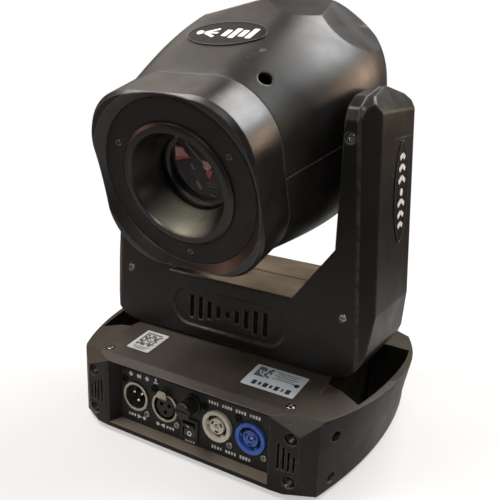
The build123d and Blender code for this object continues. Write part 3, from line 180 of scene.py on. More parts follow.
def make_floor():
    """Pale round floor that fades away from the object, before a white studio."""
    bm = bmesh.new()
    rings = []
    for radius in (0.0, 0.3, 0.6, 0.9, 1.2):
        ring = []
        for i in range(64 if radius else 1):
            a = 2 * math.pi * i / 64
            ring.append(bm.verts.new((radius * math.cos(a), radius * math.sin(a), FLOOR_Z - 0.0002)))
        rings.append(ring)
    for inner, outer in zip(rings, rings[1:]):
        join_rings(bm, inner, outer)
    bmesh.ops.reverse_faces(bm, faces=bm.faces)
    mesh = bpy.data.meshes.new("floor")
    bm.to_mesh(mesh)
    bm.free()
    sh = surface("floor_paper", (0.84, 0.84, 0.835), (0.88, 0.88, 0.875), (0.6, 0.75), patch=3, grain=400,
                 depth=0.00002, soft=0.0001)
    away = sh.node("ShaderNodeVectorMath", {0: sh.place}, operation="LENGTH").outputs["Value"]
    sh.put(sh.bsdf.inputs["Alpha"], sh.spread(away, 0.2, 0.6, 0.55, 0.0))
    mesh.materials.append(sh.material)
    floor = bpy.data.objects.new("floor", mesh)
    bpy.context.scene.collection.objects.link(floor)
    floor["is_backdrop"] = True


# ---- shader helper ----
class Shader:
    """One material's node tree, with short calls for the nodes used in this scene."""

    def __init__(self, name):
        self.material = bpy.data.materials.new("look_" + name)
        self.material.use_nodes = True
        self.tree = self.material.node_tree
        self.bsdf = self.tree.nodes["Principled BSDF"]
        coordinates = self.node("ShaderNodeTexCoord")
        self.place = coordinates.outputs["Object"]
        self.facing = coordinates.outputs["Normal"]

    def node(self, kind, inputs=None, **settings):
        made = self.tree.nodes.new(kind)
        for key, value in settings.items():
            setattr(made, key, value)
        for key, value in (inputs or {}).items():
            self.put(made.inputs[key], value)
        return made

    def put(self, socket, value):
        if isinstance(value, bpy.types.NodeSocket):
            self.tree.links.new(value, socket)
        else:
            socket.default_value = value

    def set(self, **values):
        for key, value in values.items():
            self.put(self.bsdf.inputs[key.replace("_", " ")], value)

    def base(self):
        """What feeds the base colour so far."""
        return self.bsdf.inputs["Base Color"].links[0].from_socket

    def along(self, vector, axis):
        return self.node("ShaderNodeSeparateXYZ", {"Vector": vector}).outputs[axis]

    def noise(self, scale, detail=4.0, stretch=(1, 1, 1), turn=(0, 0, 0), distortion=0.0):
        mapping = {"Vector": self.place, "Scale": stretch, "Rotation": turn}
        vector = self.node("ShaderNodeMapping", mapping).outputs[0]
        return self.node("ShaderNodeTexNoise", {"Vector": vector, "Scale": scale, "Detail": detail,
                                                "Distortion": distortion}).outputs["Fac"]

    def spread(self, value, start, end, to_start=0.0, to_end=1.0):
        made = self.node("ShaderNodeMapRange", {"Value": value, "From Min": start, "From Max": end,
                                                "To Min": to_start, "To Max": to_end})
        return made.outputs["Result"]

    def math(self, operation, a, b=0.0):
        return self.node("ShaderNodeMath", {0: a, 1: b}, operation=operation).outputs[0]

    def times(self, a, b):
        return self.math("MULTIPLY", a, b)

    def mix(self, factor, a, b):
        made = self.node("ShaderNodeMix", data_type="RGBA")
        for key, value in (("Factor_Float", factor), ("A_Color", a), ("B_Color", b)):
            socket = [s for s in made.inputs if s.identifier == key][0]
            if not isinstance(value, bpy.types.NodeSocket) and key != "Factor_Float":
                value = (*value, 1)
            self.put(socket, value)
        return [s for s in made.outputs if s.identifier == "Result_Color"][0]

    def distance_from_axis(self):
        """Distance of a point from the head's optical axis at rest, in metres."""
        kind = "ShaderNodeVectorMath"
        away = self.node(kind, {0: self.place, 1: tuple(TILT)}, operation="SUBTRACT").outputs[0]
        cross = self.node(kind, {0: away, 1: tuple(HEAD_OUT)}, operation="CROSS_PRODUCT").outputs[0]
        return self.node(kind, {0: cross}, operation="LENGTH").outputs["Value"]

    def soft_edges(self, radius):
        """Rounded normal near the edges of a CAD solid, and a mask of those edges."""
        bevel = self.node("ShaderNodeBevel", {"Radius": radius}, samples=6).outputs[0]
        plain = self.node("ShaderNodeNewGeometry").outputs["Normal"]
        dot = self.node("ShaderNodeVectorMath", {0: bevel, 1: plain}, operation="DOT_PRODUCT")
        return bevel, self.spread(dot.outputs["Value"], 0.995, 0.86)

    def bump(self, height, distance, normal):
        return self.node("ShaderNodeBump", {"Height": height, "Distance": distance, "Strength": 1.0,
                                            "Normal": normal}).outputs[0]


# ---- materials ----
def surface(name, dark, light, rough, metal=0.0, patch=40, grain=1500, depth=0.00003, soft=0.0006,
            edge=None, edge_wear_and_highlight=0.5, stretch=(1, 1, 1), coat=0.0, specular=0.5):
    """Moulded, painted or metal surface: patchy colour, patchy gloss, fine grain and lighter edges, partly
    wear and partly a painted highlight.
    """
    sh = Shader(name)
    patches = sh.spread(sh.noise(patch, 5, stretch, distortion=0.4), 0.35, 0.68)
    color = sh.mix(patches, dark, light)
    bevel, edges = sh.soft_edges(soft)
    # Lighter edges: worn edges, and with a high amount also a painted highlight line along the rims.
    if edge is not None:
        broken = sh.spread(sh.noise(260, 5), 0.38, 0.62, 0.25, 1.0)
        color = sh.mix(sh.times(sh.times(edges, broken), edge_wear_and_highlight), color, edge)
    sh.set(Base_Color=color, Metallic=metal, Specular_IOR_Level=specular)
    sh.set(Roughness=sh.spread(sh.noise(patch * 2.7, 6, stretch), 0.3, 0.7, rough[0], rough[1]))
    if coat:
        sh.set(Coat_Weight=coat, Coat_Roughness=0.12)
    sh.set(Normal=sh.bump(sh.noise(grain, 3, stretch), depth, bevel))
    return sh


def scuffed_plastic(name, dark, light, soft, edge_wear_and_highlight=0.5, rough=(0.3, 0.43), specular=0.5):
    """Warm black moulded plastic: spark-eroded grain, rubbed patches, hairline scratches and light specks."""
    sh = surface(name, dark, light, rough, patch=17, grain=2100, depth=0.000035, soft=soft,
                 edge=(0.16, 0.14, 0.12), edge_wear_and_highlight=edge_wear_and_highlight, specular=specular)
    dust = sh.spread(sh.noise(75, 8, distortion=0.6), 0.52, 0.8, 0.0, 0.35)
    base = sh.mix(dust, sh.base(), tuple(2.2 * c for c in light))
    lines = sh.spread(sh.noise(90, 2, (1, 0.05, 1.6), (0.5, 0.2, 0.7)), 0.735, 0.76)
    cross = sh.spread(sh.noise(120, 2, (0.05, 1.3, 1), (0.1, 0.8, 0.3)), 0.745, 0.77)
    scratches = sh.times(sh.math("MAXIMUM", lines, cross), sh.spread(sh.noise(24, 3), 0.5, 0.62))
    cells = sh.node("ShaderNodeTexVoronoi", {"Vector": sh.place, "Scale": 150.0}).outputs["Distance"]
    specks = sh.times(sh.spread(cells, 0.05, 0.02), sh.spread(sh.noise(33, 3), 0.6, 0.66))
    marks = sh.math("MAXIMUM", sh.times(scratches, 0.4), sh.times(specks, 0.7))
    sh.set(Base_Color=sh.mix(marks, base, (0.2, 0.18, 0.16)))
    return sh


def plastic_with_painted_highlight(name, dark, light, soft, edge_wear_and_highlight, rough):
    """Scuffed plastic with a painted highlight: lighter colour on the faces that look up, strongest near the
    floor.
    """
    sh = scuffed_plastic(name, dark, light, soft, edge_wear_and_highlight, rough, specular=0.28)
    upward = sh.spread(sh.along(sh.facing, "Z"), 0.15, 0.5)
    lowness = sh.spread(sh.along(sh.place, "Z"), 0.012, 0.022, 1.0, 0.32)
    uneven = sh.spread(sh.noise(34, 6), 0.3, 0.7, 0.7, 1.0)
    amount = sh.times(sh.times(upward, lowness), uneven)
    # Painted highlight: the upward faces near the floor are lightened as if they caught light from above.
    sh.set(Base_Color=sh.mix(amount, sh.base(), (0.16, 0.137, 0.108)))
    return sh


def lens_glass():
    """Clear front lens with a slight haze."""
    sh = Shader("lens_glass")
    tint = (0.96, 0.93, 0.94)
    sh.set(Base_Color=sh.mix(sh.noise(25, 2), tint, tuple(min(1, c * 1.05) for c in tint)))
    sh.set(Roughness=sh.spread(sh.noise(60, 5), 0.35, 0.7, 0.0, 0.02), Transmission_Weight=1.0, IOR=1.24)
    return sh


def cone_plastic():
    """Satin funnel around the lens, with a faint cream and green painted highlight towards its lower edge,
    standing in for a reflection.
    """
    sh = surface("cone_satin", (0.008, 0.0075, 0.007), (0.015, 0.014, 0.0125), (0.26, 0.36), patch=30,
                 grain=2600, depth=0.00001, soft=0.0008, edge=(0.16, 0.15, 0.14), edge_wear_and_highlight=0.35)
    centre = (TILT + HEAD_OUT * 0.1).z
    inside = sh.spread(sh.distance_from_axis(), 0.0362, 0.0345)
    aside = sh.math("ABSOLUTE", sh.math("ADD", sh.along(sh.place, "X"), 0.004))
    inside = sh.times(inside, sh.spread(aside, 0.026, 0.004))
    # Painted reflection: the lower inside of the funnel is mixed towards cream.
    lower = sh.times(sh.spread(sh.along(sh.place, "Z"), centre - 0.008, centre - 0.03, 0.0, 0.9), inside)
    sh.set(Base_Color=sh.mix(lower, sh.base(), (0.55, 0.53, 0.42)))
    return sh


def board():
    """Green circuit board: solder mask with lighter tracks."""
    sh = surface("circuit_board", (0.012, 0.075, 0.03), (0.02, 0.1, 0.04), (0.28, 0.42), patch=60,
                 grain=1400, depth=0.00002, soft=0.0003)
    bricks = sh.node("ShaderNodeTexBrick", {"Vector": sh.place, "Scale": 110.0, "Mortar Size": 0.05,
                                            "Color1": (0, 0, 0, 1), "Color2": (0, 0, 0, 1),
                                            "Mortar": (1, 1, 1, 1)})
    sh.set(Base_Color=sh.mix(bricks.outputs["Color"], sh.base(), (0.05, 0.2, 0.08)))
    return sh


def panel_screw_metal():
    """Screws darker above the connectors' middle line, zinc-coloured below it."""
    sh = surface("panel_screw", (0.24, 0.235, 0.22), (0.42, 0.41, 0.38), (0.3, 0.48), metal=1.0, patch=210,
                 soft=0.0003)
    above = sh.spread(sh.along(sh.place, "Z"), 0.026, 0.028)
    sh.set(Base_Color=sh.mix(above, sh.base(), (0.02, 0.02, 0.019)))
    return sh


def greys(value):
    return (value, value, value)


GREY_EDGE = dict(edge=(0.12, 0.115, 0.11), edge_wear_and_highlight=0.4)
BRIGHT_EDGE = dict(edge=(0.9, 0.88, 0.84), edge_wear_and_highlight=0.5)
WHITE_EDGE = dict(edge=(0.86, 0.85, 0.82), edge_wear_and_highlight=0.4)
BLUE_EDGE = dict(edge=(0.22, 0.35, 0.72), edge_wear_and_highlight=0.4)
RUBBER = dict(patch=55, grain=1900, depth=0.00005, soft=0.0008, edge=(0.08, 0.078, 0.075), edge_wear_and_highlight=0.4,
              specular=0.3)
# name: dark colour, light colour, roughness range, other settings of surface()
SURFACES = {
    "display_glass": ((0.004, 0.006, 0.012), (0.008, 0.012, 0.024), (0.05, 0.16),
                      dict(patch=35, grain=300, depth=0.000002, soft=0.0004, stretch=(0.4, 1, 1.6),
                           coat=1.0)),
    "rubber": (greys(0.012), (0.025, 0.024, 0.023), (0.62, 0.85), RUBBER),
    "belt_rubber": (greys(0.01), greys(0.02), (0.62, 0.85), RUBBER),
    "button_grey": ((0.09, 0.09, 0.095), (0.13, 0.13, 0.135), (0.62, 0.85), RUBBER),
    "painted_steel": (greys(0.014), (0.025, 0.024, 0.024), (0.4, 0.6),
                      dict(grain=1300, depth=0.00006, **GREY_EDGE)),
    "panel_black": ((0.0065, 0.0065, 0.007), (0.013, 0.0125, 0.0125), (0.5, 0.68),
                    dict(grain=1500, depth=0.00005, **GREY_EDGE)),
    "insulator_black": (greys(0.006), (0.014, 0.0135, 0.013), (0.32, 0.5),
                        dict(grain=1700, soft=0.0004, **GREY_EDGE)),
    "fan_plastic": (greys(0.01), greys(0.018), (0.35, 0.5), dict(grain=1700, **GREY_EDGE)),
    "disc_matte": ((0.0035, 0.003, 0.0028), (0.0068, 0.0057, 0.0052), (0.55, 0.72),
                   dict(patch=22, grain=2200, **GREY_EDGE)),
    "rocker_gloss": (greys(0.006), greys(0.011), (0.12, 0.24),
                     dict(grain=500, depth=0.00001, coat=0.6, **GREY_EDGE)),
    "connector_white": ((0.52, 0.505, 0.41), (0.66, 0.64, 0.54), (0.32, 0.46),
                        dict(patch=90, grain=1600, soft=0.0004, **WHITE_EDGE)),
    "connector_blue": ((0.035, 0.10, 0.42), (0.055, 0.145, 0.53), (0.3, 0.44),
                       dict(patch=90, grain=1600, soft=0.0004, **BLUE_EDGE)),
    "nickel": ((0.42, 0.38, 0.31), (0.6, 0.56, 0.48), (0.26, 0.42),
               dict(metal=1.0, patch=110, soft=0.0003, depth=0.00001, **BRIGHT_EDGE)),
    "contact_gold": ((0.62, 0.56, 0.42), (0.8, 0.72, 0.52), (0.14, 0.28),
                     dict(metal=1.0, patch=150, soft=0.0002, depth=0.00001, **BRIGHT_EDGE)),
    "screw_zinc": ((0.22, 0.21, 0.195), (0.5, 0.48, 0.44), (0.2, 0.36),
                   dict(metal=1.0, patch=210, soft=0.0003, **BRIGHT_EDGE)),
    "screw_black": ((0.05, 0.049, 0.047), (0.17, 0.165, 0.155), (0.16, 0.28),
                    dict(metal=0.9, patch=210, soft=0.0003, **GREY_EDGE)),
    "bare_metal": (greys(0.42), greys(0.56), (0.28, 0.46),
                   dict(metal=1.0, stretch=(1, 1, 0.06), depth=0.00002, **BRIGHT_EDGE)),
    "motor_steel": ((0.12, 0.12, 0.125), (0.2, 0.2, 0.205), (0.34, 0.5),
                    dict(metal=1.0, stretch=(1, 1, 9), depth=0.00003, **BRIGHT_EDGE)),
    "bearing_steel": ((0.5, 0.5, 0.51), (0.66, 0.66, 0.67), (0.14, 0.28),
                      dict(metal=1.0, patch=120, depth=0.00001, **BRIGHT_EDGE)),
    "heat_sink": ((0.2, 0.2, 0.21), (0.32, 0.32, 0.33), (0.34, 0.52),
                  dict(metal=1.0, stretch=(1, 0.1, 1), depth=0.00003, **BRIGHT_EDGE)),
    "wheel_metal": ((0.13, 0.13, 0.14), (0.22, 0.22, 0.23), (0.32, 0.5),
                    dict(metal=1.0, patch=140, depth=0.00002, **BRIGHT_EDGE)),
}
FINE = dict(grain=2500, soft=0.0001)
GLINT_LOOK = dict(grain=900, depth=0.000003, soft=0.0001)
# The same for the looks of pieces that only this scene makes.
PIECE_SURFACES = {
    "badge_black": ((0.003, 0.003, 0.0035), (0.006, 0.006, 0.0065), (0.4, 0.52),
                    dict(patch=60, grain=900, depth=0.000004, soft=0.0003, specular=0.22)),
    "badge_rim": ((0.05, 0.049, 0.048), (0.09, 0.088, 0.085), (0.25, 0.4),
                  dict(patch=200, grain=1500, depth=0.000004, soft=0.0002)),
    "print_white": ((0.8, 0.8, 0.78), (0.92, 0.92, 0.9), (0.4, 0.55),
                    dict(patch=300, depth=0.000004, **FINE)),
    "print_panel": ((0.5, 0.5, 0.49), (0.8, 0.8, 0.78), (0.45, 0.6), dict(patch=380, depth=0.000004, **FINE)),
    "print_grey": ((0.07, 0.072, 0.072), (0.14, 0.142, 0.142), (0.5, 0.65),
                   dict(patch=400, depth=0.000003, **FINE)),
    "print_dark": ((0.02, 0.022, 0.03), (0.04, 0.042, 0.05), (0.45, 0.6),
                   dict(patch=400, depth=0.000003, **FINE)),
    "display_pale": ((0.05, 0.13, 0.2), (0.08, 0.18, 0.26), (0.3, 0.45),
                     dict(patch=300, depth=0.000003, **FINE)),
    "sticker_paper": ((0.52, 0.54, 0.51), (0.62, 0.63, 0.6), (0.42, 0.58),
                      dict(patch=70, grain=900, depth=0.00001, soft=0.0002)),
    "sticker_paper_blue": ((0.5, 0.58, 0.64), (0.62, 0.68, 0.72), (0.32, 0.48),
                           dict(patch=60, grain=900, depth=0.00001, soft=0.0002)),
    # Behind the lens: a near-black dome as painted shade, and pink, pale and grey pieces as painted glints.
    "prism_painted_shade": ((0.001, 0.001, 0.0009), (0.004, 0.0036, 0.003), (0.3, 0.5),
                   dict(patch=90, grain=900, depth=0.000003, soft=0.0002, specular=0.2)),
    "painted_glint_pink": ((0.55, 0.008, 0.03), (0.8, 0.06, 0.12), (0.2, 0.4), dict(patch=260, **GLINT_LOOK)),
    "painted_glint_pale": ((0.6, 0.25, 0.27), (0.8, 0.72, 0.58), (0.2, 0.4), dict(patch=380, **GLINT_LOOK)),
    "painted_glint_grey": ((0.1, 0.1, 0.095), (0.22, 0.22, 0.21), (0.2, 0.4), dict(patch=380, **GLINT_LOOK)),
    # Near-black sheet behind the yoke's vents: painted shade.
    "vent_painted_shade": (greys(0.002), greys(0.005), (0.7, 0.85),
                   dict(patch=900, grain=2600, depth=0.0001, soft=0.0002, specular=0.2)),
}


def make_materials():
    made = {
        "scuffed_abs": scuffed_plastic("scuffed_abs", (0.0062, 0.0054, 0.005), (0.013, 0.0108, 0.0096),
                                       0.0016, 0.5, (0.34, 0.46)),
        "abs_yoke": scuffed_plastic("abs_yoke", (0.0035, 0.003, 0.0026), (0.0075, 0.0062, 0.0052), 0.003),
        "abs_base": plastic_with_painted_highlight("abs_base", (0.0065, 0.0057, 0.0046), (0.0135, 0.0116, 0.0094),
                                  0.0012, 0.85, (0.36, 0.5)),
        # The bezel's edges get a high amount (0.9): wear plus a painted highlight line along its rim.
        "abs_bezel": scuffed_plastic("abs_bezel", (0.0045, 0.0036, 0.0033), (0.0095, 0.0075, 0.0066),
                                     0.0014, 0.9, specular=0.65),
        "cone_satin": cone_plastic(),
        "circuit_board": board(),
        "panel_screw": panel_screw_metal(),
        "lens_glass": lens_glass(),
    }
    for table in (SURFACES, PIECE_SURFACES):
        for name, (dark, light, rough, extra) in table.items():
            made[name] = surface(name, dark, light, rough, **extra)
    return {name: sh.material for name, sh in made.items()}


# Nodes whose look differs from that of their slot.
LOOKS = {
    "head_screws": "screw_black", "panel_screws": "panel_screw",
    # yoke_frame and pan_shaft get the dark painted_steel look as painted shade, so they read dark through the
    # yoke's vents.
    "yoke_frame": "painted_steel", "pan_shaft": "painted_steel",
    "base_shell": "abs_base", "head_bezel": "abs_bezel",
    "yoke_front_shell": "abs_yoke", "yoke_rear_shell": "abs_yoke",
    "arm_cover_left": "abs_yoke", "arm_cover_right": "abs_yoke",
}


def paint_nodes(made):
    for row in frame["record"]["subparts"]:
        node = NODES[row["node"]]
        material = made[LOOKS.get(row["node"], row["material_slot"])]
        if not node.material_slots:
            node.data.materials.append(material)
        for slot in node.material_slots:
            slot.material = material


# ---- geometry helpers ----
TREES = {}


def tree_of(node):
    """Search tree of a CAD node's surface, made once."""
    if node not in TREES:
        mesh = NODES[node].data
        TREES[node] = BVHTree.FromPolygons([v.co for v in mesh.vertices], [p.vertices for p in mesh.polygons])
    return TREES[node]


class Place:
    """A flat frame over a CAD surface: millimetres along u and v, with rays going back along the normal.
    With no nodes it stays flat and goes through its origin."""

    def __init__(self, origin, u, v, nodes=(), reach=0.0):
        self.origin, self.u, self.v = Vector(origin), Vector(u).normalized(), Vector(v).normalized()
        self.n = self.u.cross(self.v).normalized()
        self.nodes, self.reach = nodes, reach

    def on(self, a, b, lift):
        """Point of the surface under (a, b), lifted outward; all in millimetres but the result."""
        start = self.origin + self.u * (a * MM) + self.v * (b * MM) + self.n * self.reach
        found = []
        for node in self.nodes:
            hit = tree_of(node).ray_cast(start, -self.n, 2 * self.reach)
            if hit[0] is not None:
                found.append(hit[3])
        depth = min(found) if found else self.reach
        return start - self.n * depth + self.n * (lift * MM)


def on_head(aside, up, out):
    """Point beside, above and in front of the tilt axis, in the directions of the head at rest."""
    return TILT + HEAD_UP * (up * MM) + HEAD_OUT * (out * MM) + X_AXIS * (aside * MM)


def ellipse(cx, cy, rx, ry, count=48):
    angles = [2 * math.pi * i / count for i in range(count)]
    return [(cx + rx * math.cos(a), cy + ry * math.sin(a)) for a in angles]


def bar(cx, cy, width, height, turn=0.0, round_by=0.0):
    """Rectangle outline with a few points per side, or with rounded corners."""
    points = []
    hw, hh = width / 2, height / 2
    if round_by:
        for sx, sy, start in ((1, 1, 0), (-1, 1, 90), (-1, -1, 180), (1, -1, 270)):
            for step in range(0, 91, 30):
                a = math.radians(start + step)
                points.append((sx * (hw - round_by) + round_by * math.cos(a),
                               sy * (hh - round_by) + round_by * math.sin(a)))
    else:
        steps = 4
        corners = [(hw, -hh), (hw, hh), (-hw, hh), (-hw, -hh)]
        for i in range(4):
            (x0, y0), (x1, y1) = corners[i], corners[(i + 1) % 4]
            points += [(x0 + (x1 - x0) * s / steps, y0 + (y1 - y0) * s / steps) for s in range(steps)]
    cos, sin = math.cos(turn), math.sin(turn)
    return [(cx + x * cos - y * sin, cy + x * sin + y * cos) for x, y in points]


def join_rings(bm, a, b):
    """Faces between two rings of vertices, either of which may be a single vertex."""
    count = max(len(a), len(b))
    for i in range(count):
        j = (i + 1) % count
        if len(a) == 1:
            bm.faces.new((a[0], b[j], b[i]))
        elif len(b) == 1:
            bm.faces.new((a[i], a[j], b[0]))
        else:
            bm.faces.new((a[i], a[j], b[j], b[i]))


def finish_piece(bm, name, material, body):
    bmesh.ops.recalc_face_normals(bm, faces=bm.faces)
    mesh = bpy.data.meshes.new(name)
    bm.to_mesh(mesh)
    bm.free()
    mesh.materials.append(material)
    piece = bpy.data.objects.new(name, mesh)
    bpy.context.scene.collection.objects.link(piece)
    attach(piece, body)


def films(name, place, outlines, material, body, lift=0.03, thick=0.15, rings=1, holes=None):
    """Thin closed shapes that follow a CAD surface. With holes, each outline is a band around its hole."""
    bm = bmesh.new()
    for index, outline in enumerate(outlines):
        hole = holes[index] if holes else None
        cx = sum(p[0] for p in outline) / len(outline)
        cy = sum(p[1] for p in outline) / len(outline)
        top, under = [], []
        for k in range(rings + 1):
            t = k / rings
            if hole:
                ring = [(o[0] + (h[0] - o[0]) * t, o[1] + (h[1] - o[1]) * t) for o, h in zip(outline, hole)]
            elif k < rings:
                ring = [(cx + (x - cx) * (1 - t), cy + (y - cy) * (1 - t)) for x, y in outline]
            else:
                ring = [(cx, cy)]
            top.append([bm.verts.new(place.on(x, y, lift + thick)) for x, y in ring])
            under.append([bm.verts.new(place.on(x, y, lift)) for x, y in ring])
        join_rings(bm, under[0], top[0])
        if hole:
            join_rings(bm, top[-1], under[-1])
        for level in (top, under):
            for a, b in zip(level, level[1:]):
                join_rings(bm, a, b)
    finish_piece(bm, name, material, body)


def lathe(name, profile, origin, axis, material, body, count=48):
    """Turned piece: profile of (radius, height) in millimetres, turned about an axis."""
    axis = Vector(axis).normalized()
    side = axis.orthogonal().normalized()
    other = axis.cross(side)
    bm = bmesh.new()
    rings = []
    for radius, height in profile:
        ring = []
        for i in range(count if radius > 0 else 1):
            a = 2 * math.pi * i / count
            out = (side * math.cos(a) + other * math.sin(a)) * (radius * MM)
            ring.append(bm.verts.new(Vector(origin) + out + axis * (height * MM)))
        rings.append(ring)
    for a, b in zip(rings, rings[1:]):
        join_rings(bm, a, b)
    bmesh.ops.remove_doubles(bm, verts=bm.verts, dist=0.000001)
    for face in bm.faces:
        face.smooth = True
    finish_piece(bm, name, material, body)


# ---- badges and their generic marks ----
def beam_mark(cx, cy, size):
    """Generic light mark: a small lamp dot with a fan of three rays."""
    shapes = [ellipse(cx - size * 0.62, cy, size * 0.24, size * 0.24, 20)]
    middle = size * 0.28
    for angle in (-28, 0, 28):
        a = math.radians(angle)
        x = cx + middle * math.cos(a) - size * 0.1
        y = cy + middle * math.sin(a) * 1.9
        shapes.append(bar(x, y, size * 0.95, size * 0.2, a))
    return shapes


def head_badge(made):
    place = Place(on_head(0.5, 75, 30.5), X_AXIS, HEAD_UP.cross(X_AXIS),
                  ["head_upper_shell", "head_bezel"], 0.03)
    outer = ellipse(0, 0, BADGE_HALF_WIDTH, BADGE_HALF_HEIGHT, 72)
    inner = ellipse(0, 0, BADGE_HALF_WIDTH - BADGE_RIM, BADGE_HALF_HEIGHT - BADGE_RIM, 72)
    films("head_badge_plate", place, [outer], made["badge_black"], "head",
          lift=0.05, thick=0.45, rings=8)
    films("head_badge_rim", place, [outer], made["badge_rim"], "head",
          lift=0.4, thick=0.35, holes=[inner])
    shapes = beam_mark(-13.5, 0, 11)
    for i, height in enumerate((8.5, 12.5, 8.5, 12.5)):
        shapes.append(bar(0.5 + 6.4 * i, 0, 4.4, height, -0.12, 0.8))
    films("head_badge_marks", place, shapes, made["print_white"], "head",
          lift=0.45, thick=0.25, rings=2)


def pointed_oval(half_width, half_height, count=56):
    """Vertical oval with pointed ends."""
    points = []
    for i in range(count):
        a = 2 * math.pi * i / count
        x = math.copysign(abs(math.cos(a)) ** 1.25, math.cos(a))
        points.append((half_width * x, half_height * math.sin(a)))
    return points


def arm_badges(made):
    """Oval plate on each outer arm cover, with rows of chevrons on both sides of a dot."""
    shapes = [ellipse(0, 0, 2.6, 2.6, 24)]
    for height, width in ((23.5, 9.5), (16, 12.0), (8, 13.2), (-8, 13.2), (-16, 12.0), (-23.5, 9.5)):
        for way in (-1, 1):
            shapes.append(bar(way * width * 0.24, height + 0.8, width * 0.52, 3.1, -way * 0.5, 0.5))
    x, y, z = ARM_BADGE_AT_M
    for side, name in ((1, "right"), (-1, "left")):
        slope = Vector((-side * ARM_BADGE_SLOPE[0], 0, ARM_BADGE_SLOPE[1])).normalized()
        under = ["arm_cover_" + name, "yoke_front_shell", "yoke_rear_shell"]
        place = Place((side * x, side * y, z), Y_AXIS * side, slope, under, 0.012)
        films("arm_badge_plate_" + name, place, [pointed_oval(*ARM_BADGE_HALF)], made["badge_black"],
              "yoke", lift=0.05, thick=0.45, rings=6)
        films("arm_badge_rim_" + name, place, [pointed_oval(*ARM_BADGE_HALF)], made["badge_rim"],
              "yoke", lift=0.4, thick=0.3, holes=[pointed_oval(*ARM_BADGE_HOLE_HALF)])
        films("arm_badge_marks_" + name, place, shapes, made["print_white"],
              "yoke", lift=0.45, thick=0.22, rings=2)


# ---- deck stickers ----
def deck_place(x):
    high_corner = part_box("base_shell")[1]
    origin = Vector((x * MM, STICKER_Y * MM, high_corner[2] - 0.003))
    return Place(origin, X_AXIS, DECK_SLOPE, ["base_shell"], 0.02)


def code_cells(rng, count, x, y, pitch, size, share):
    """Square code of random cells, a generic stand-in."""
    cells = []
    for i in range(count):
        for j in range(count):
            if rng.random() < share:
                cells.append(bar(x + pitch * i, y + pitch * j, size, size))
    return cells


def stickers(made):
    rng = random.Random(7)
    left = deck_place(-STICKER_X)
    films("sticker_left", left, [bar(0, 0, 21, 27, 0.0, 1.2)], made["sticker_paper"],
          "base", thick=0.12, rings=5)
    cells = code_cells(rng, 11, -7.0, -6.0, 1.4, 1.38, 0.6)
    cells += [bar(0, -8.6 - 1.5 * i, 15.5 - 3.0 * i, 0.7) for i in range(3)]
    cells.append(bar(-1.0, 10.2, 15.0, 1.5))
    films("sticker_left_print", left, cells, made["print_grey"], "base", lift=0.16, thick=0.03)
    right = deck_place(STICKER_RIGHT_X)
    films("sticker_right", right, [bar(0, 0, 41, 26, 0.0, 1.2)], made["sticker_paper_blue"],
          "base", thick=0.12, rings=6)
    cells = code_cells(rng, 9, -16.5, 0.2, 1.3, 1.25, 0.68)
    cells += [bar(6.0, 9.8 - 2.0 * i, 18 - (i % 2) * 4, 0.7) for i in range(5)]
    films("sticker_right_print", right, cells, made["print_grey"], "base",
          lift=0.16, thick=0.03)
    bars = []
    for i, width in enumerate((3.2, 2.2, 3.6, 2.2, 3.2, 1.4, 3.4)):
        bars.append(bar(-12.0 + 4.4 * i, -7.8, width, 3.6 if i % 2 else 5.0, 0.0, 0.5))
    bars.append(ellipse(16.4, 1.0, 2.0, 2.0, 20))
    films("sticker_right_bars", right, bars, made["print_dark"], "base",
          lift=0.16, thick=0.03)


# ---- printed marks ----
def dashes(cx, z, count, pitch, rng, height):
    """A row of short strokes with gaps, as a stand-in for a printed line."""
    shapes = []
    for i in range(count):
        if i % 5 == 4:
            continue
        x = cx + (i - (count - 1) / 2) * pitch
        width = pitch * (0.45 + 0.3 * rng.random())
        shapes.append(bar(x, z, width, height * (0.75 + 0.25 * rng.random())))
    return shapes


def connector_panel_marks(made):
    rng = random.Random(3)
    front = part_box("connector_panel")[0][1]
    place = Place((0, front, 0), X_AXIS, Z_AXIS, ["connector_panel"], 0.004)
    shapes = [ellipse(-55.0, ICON_Z, 1.8, 1.8, 16), bar(-47.2, ICON_Z, 3.8, 2.8),
              bar(-39.6, ICON_Z, 3.0, 3.0, math.pi / 4),
              bar(-31.5, ICON_Z - 1.0, 4.2, 1.2), bar(-31.5, ICON_Z + 1.2, 1.6, 2.6)]
    for x, way in zip(SIGNAL_X, (1, -1)):
        z = SIGNAL_LABEL_Z
        shapes += [bar(x + (-6.8 + 2.6 * step) * way, z, 1.7, 2.2, 0, 0.3) for step in range(3)]
        shapes.append([(x + 5.0 * way, z), (x + 1.0 * way, z + 2.0), (x + 1.0 * way, z - 2.0)])
        shapes.append(ellipse(x + 7.4 * way, z, 1.5, 1.5, 16))
    shapes += dashes(36.5, 43.7, 19, 2.25, rng, 2.7)
    shapes += dashes(36.0, 9.3, 15, 2.35, rng, 2.7)
    shapes += dashes(1.0, 6.2, 5, 2.3, rng, 2.0)
    films("panel_marks", place, shapes, made["print_panel"], "base", lift=0.02, thick=0.05)


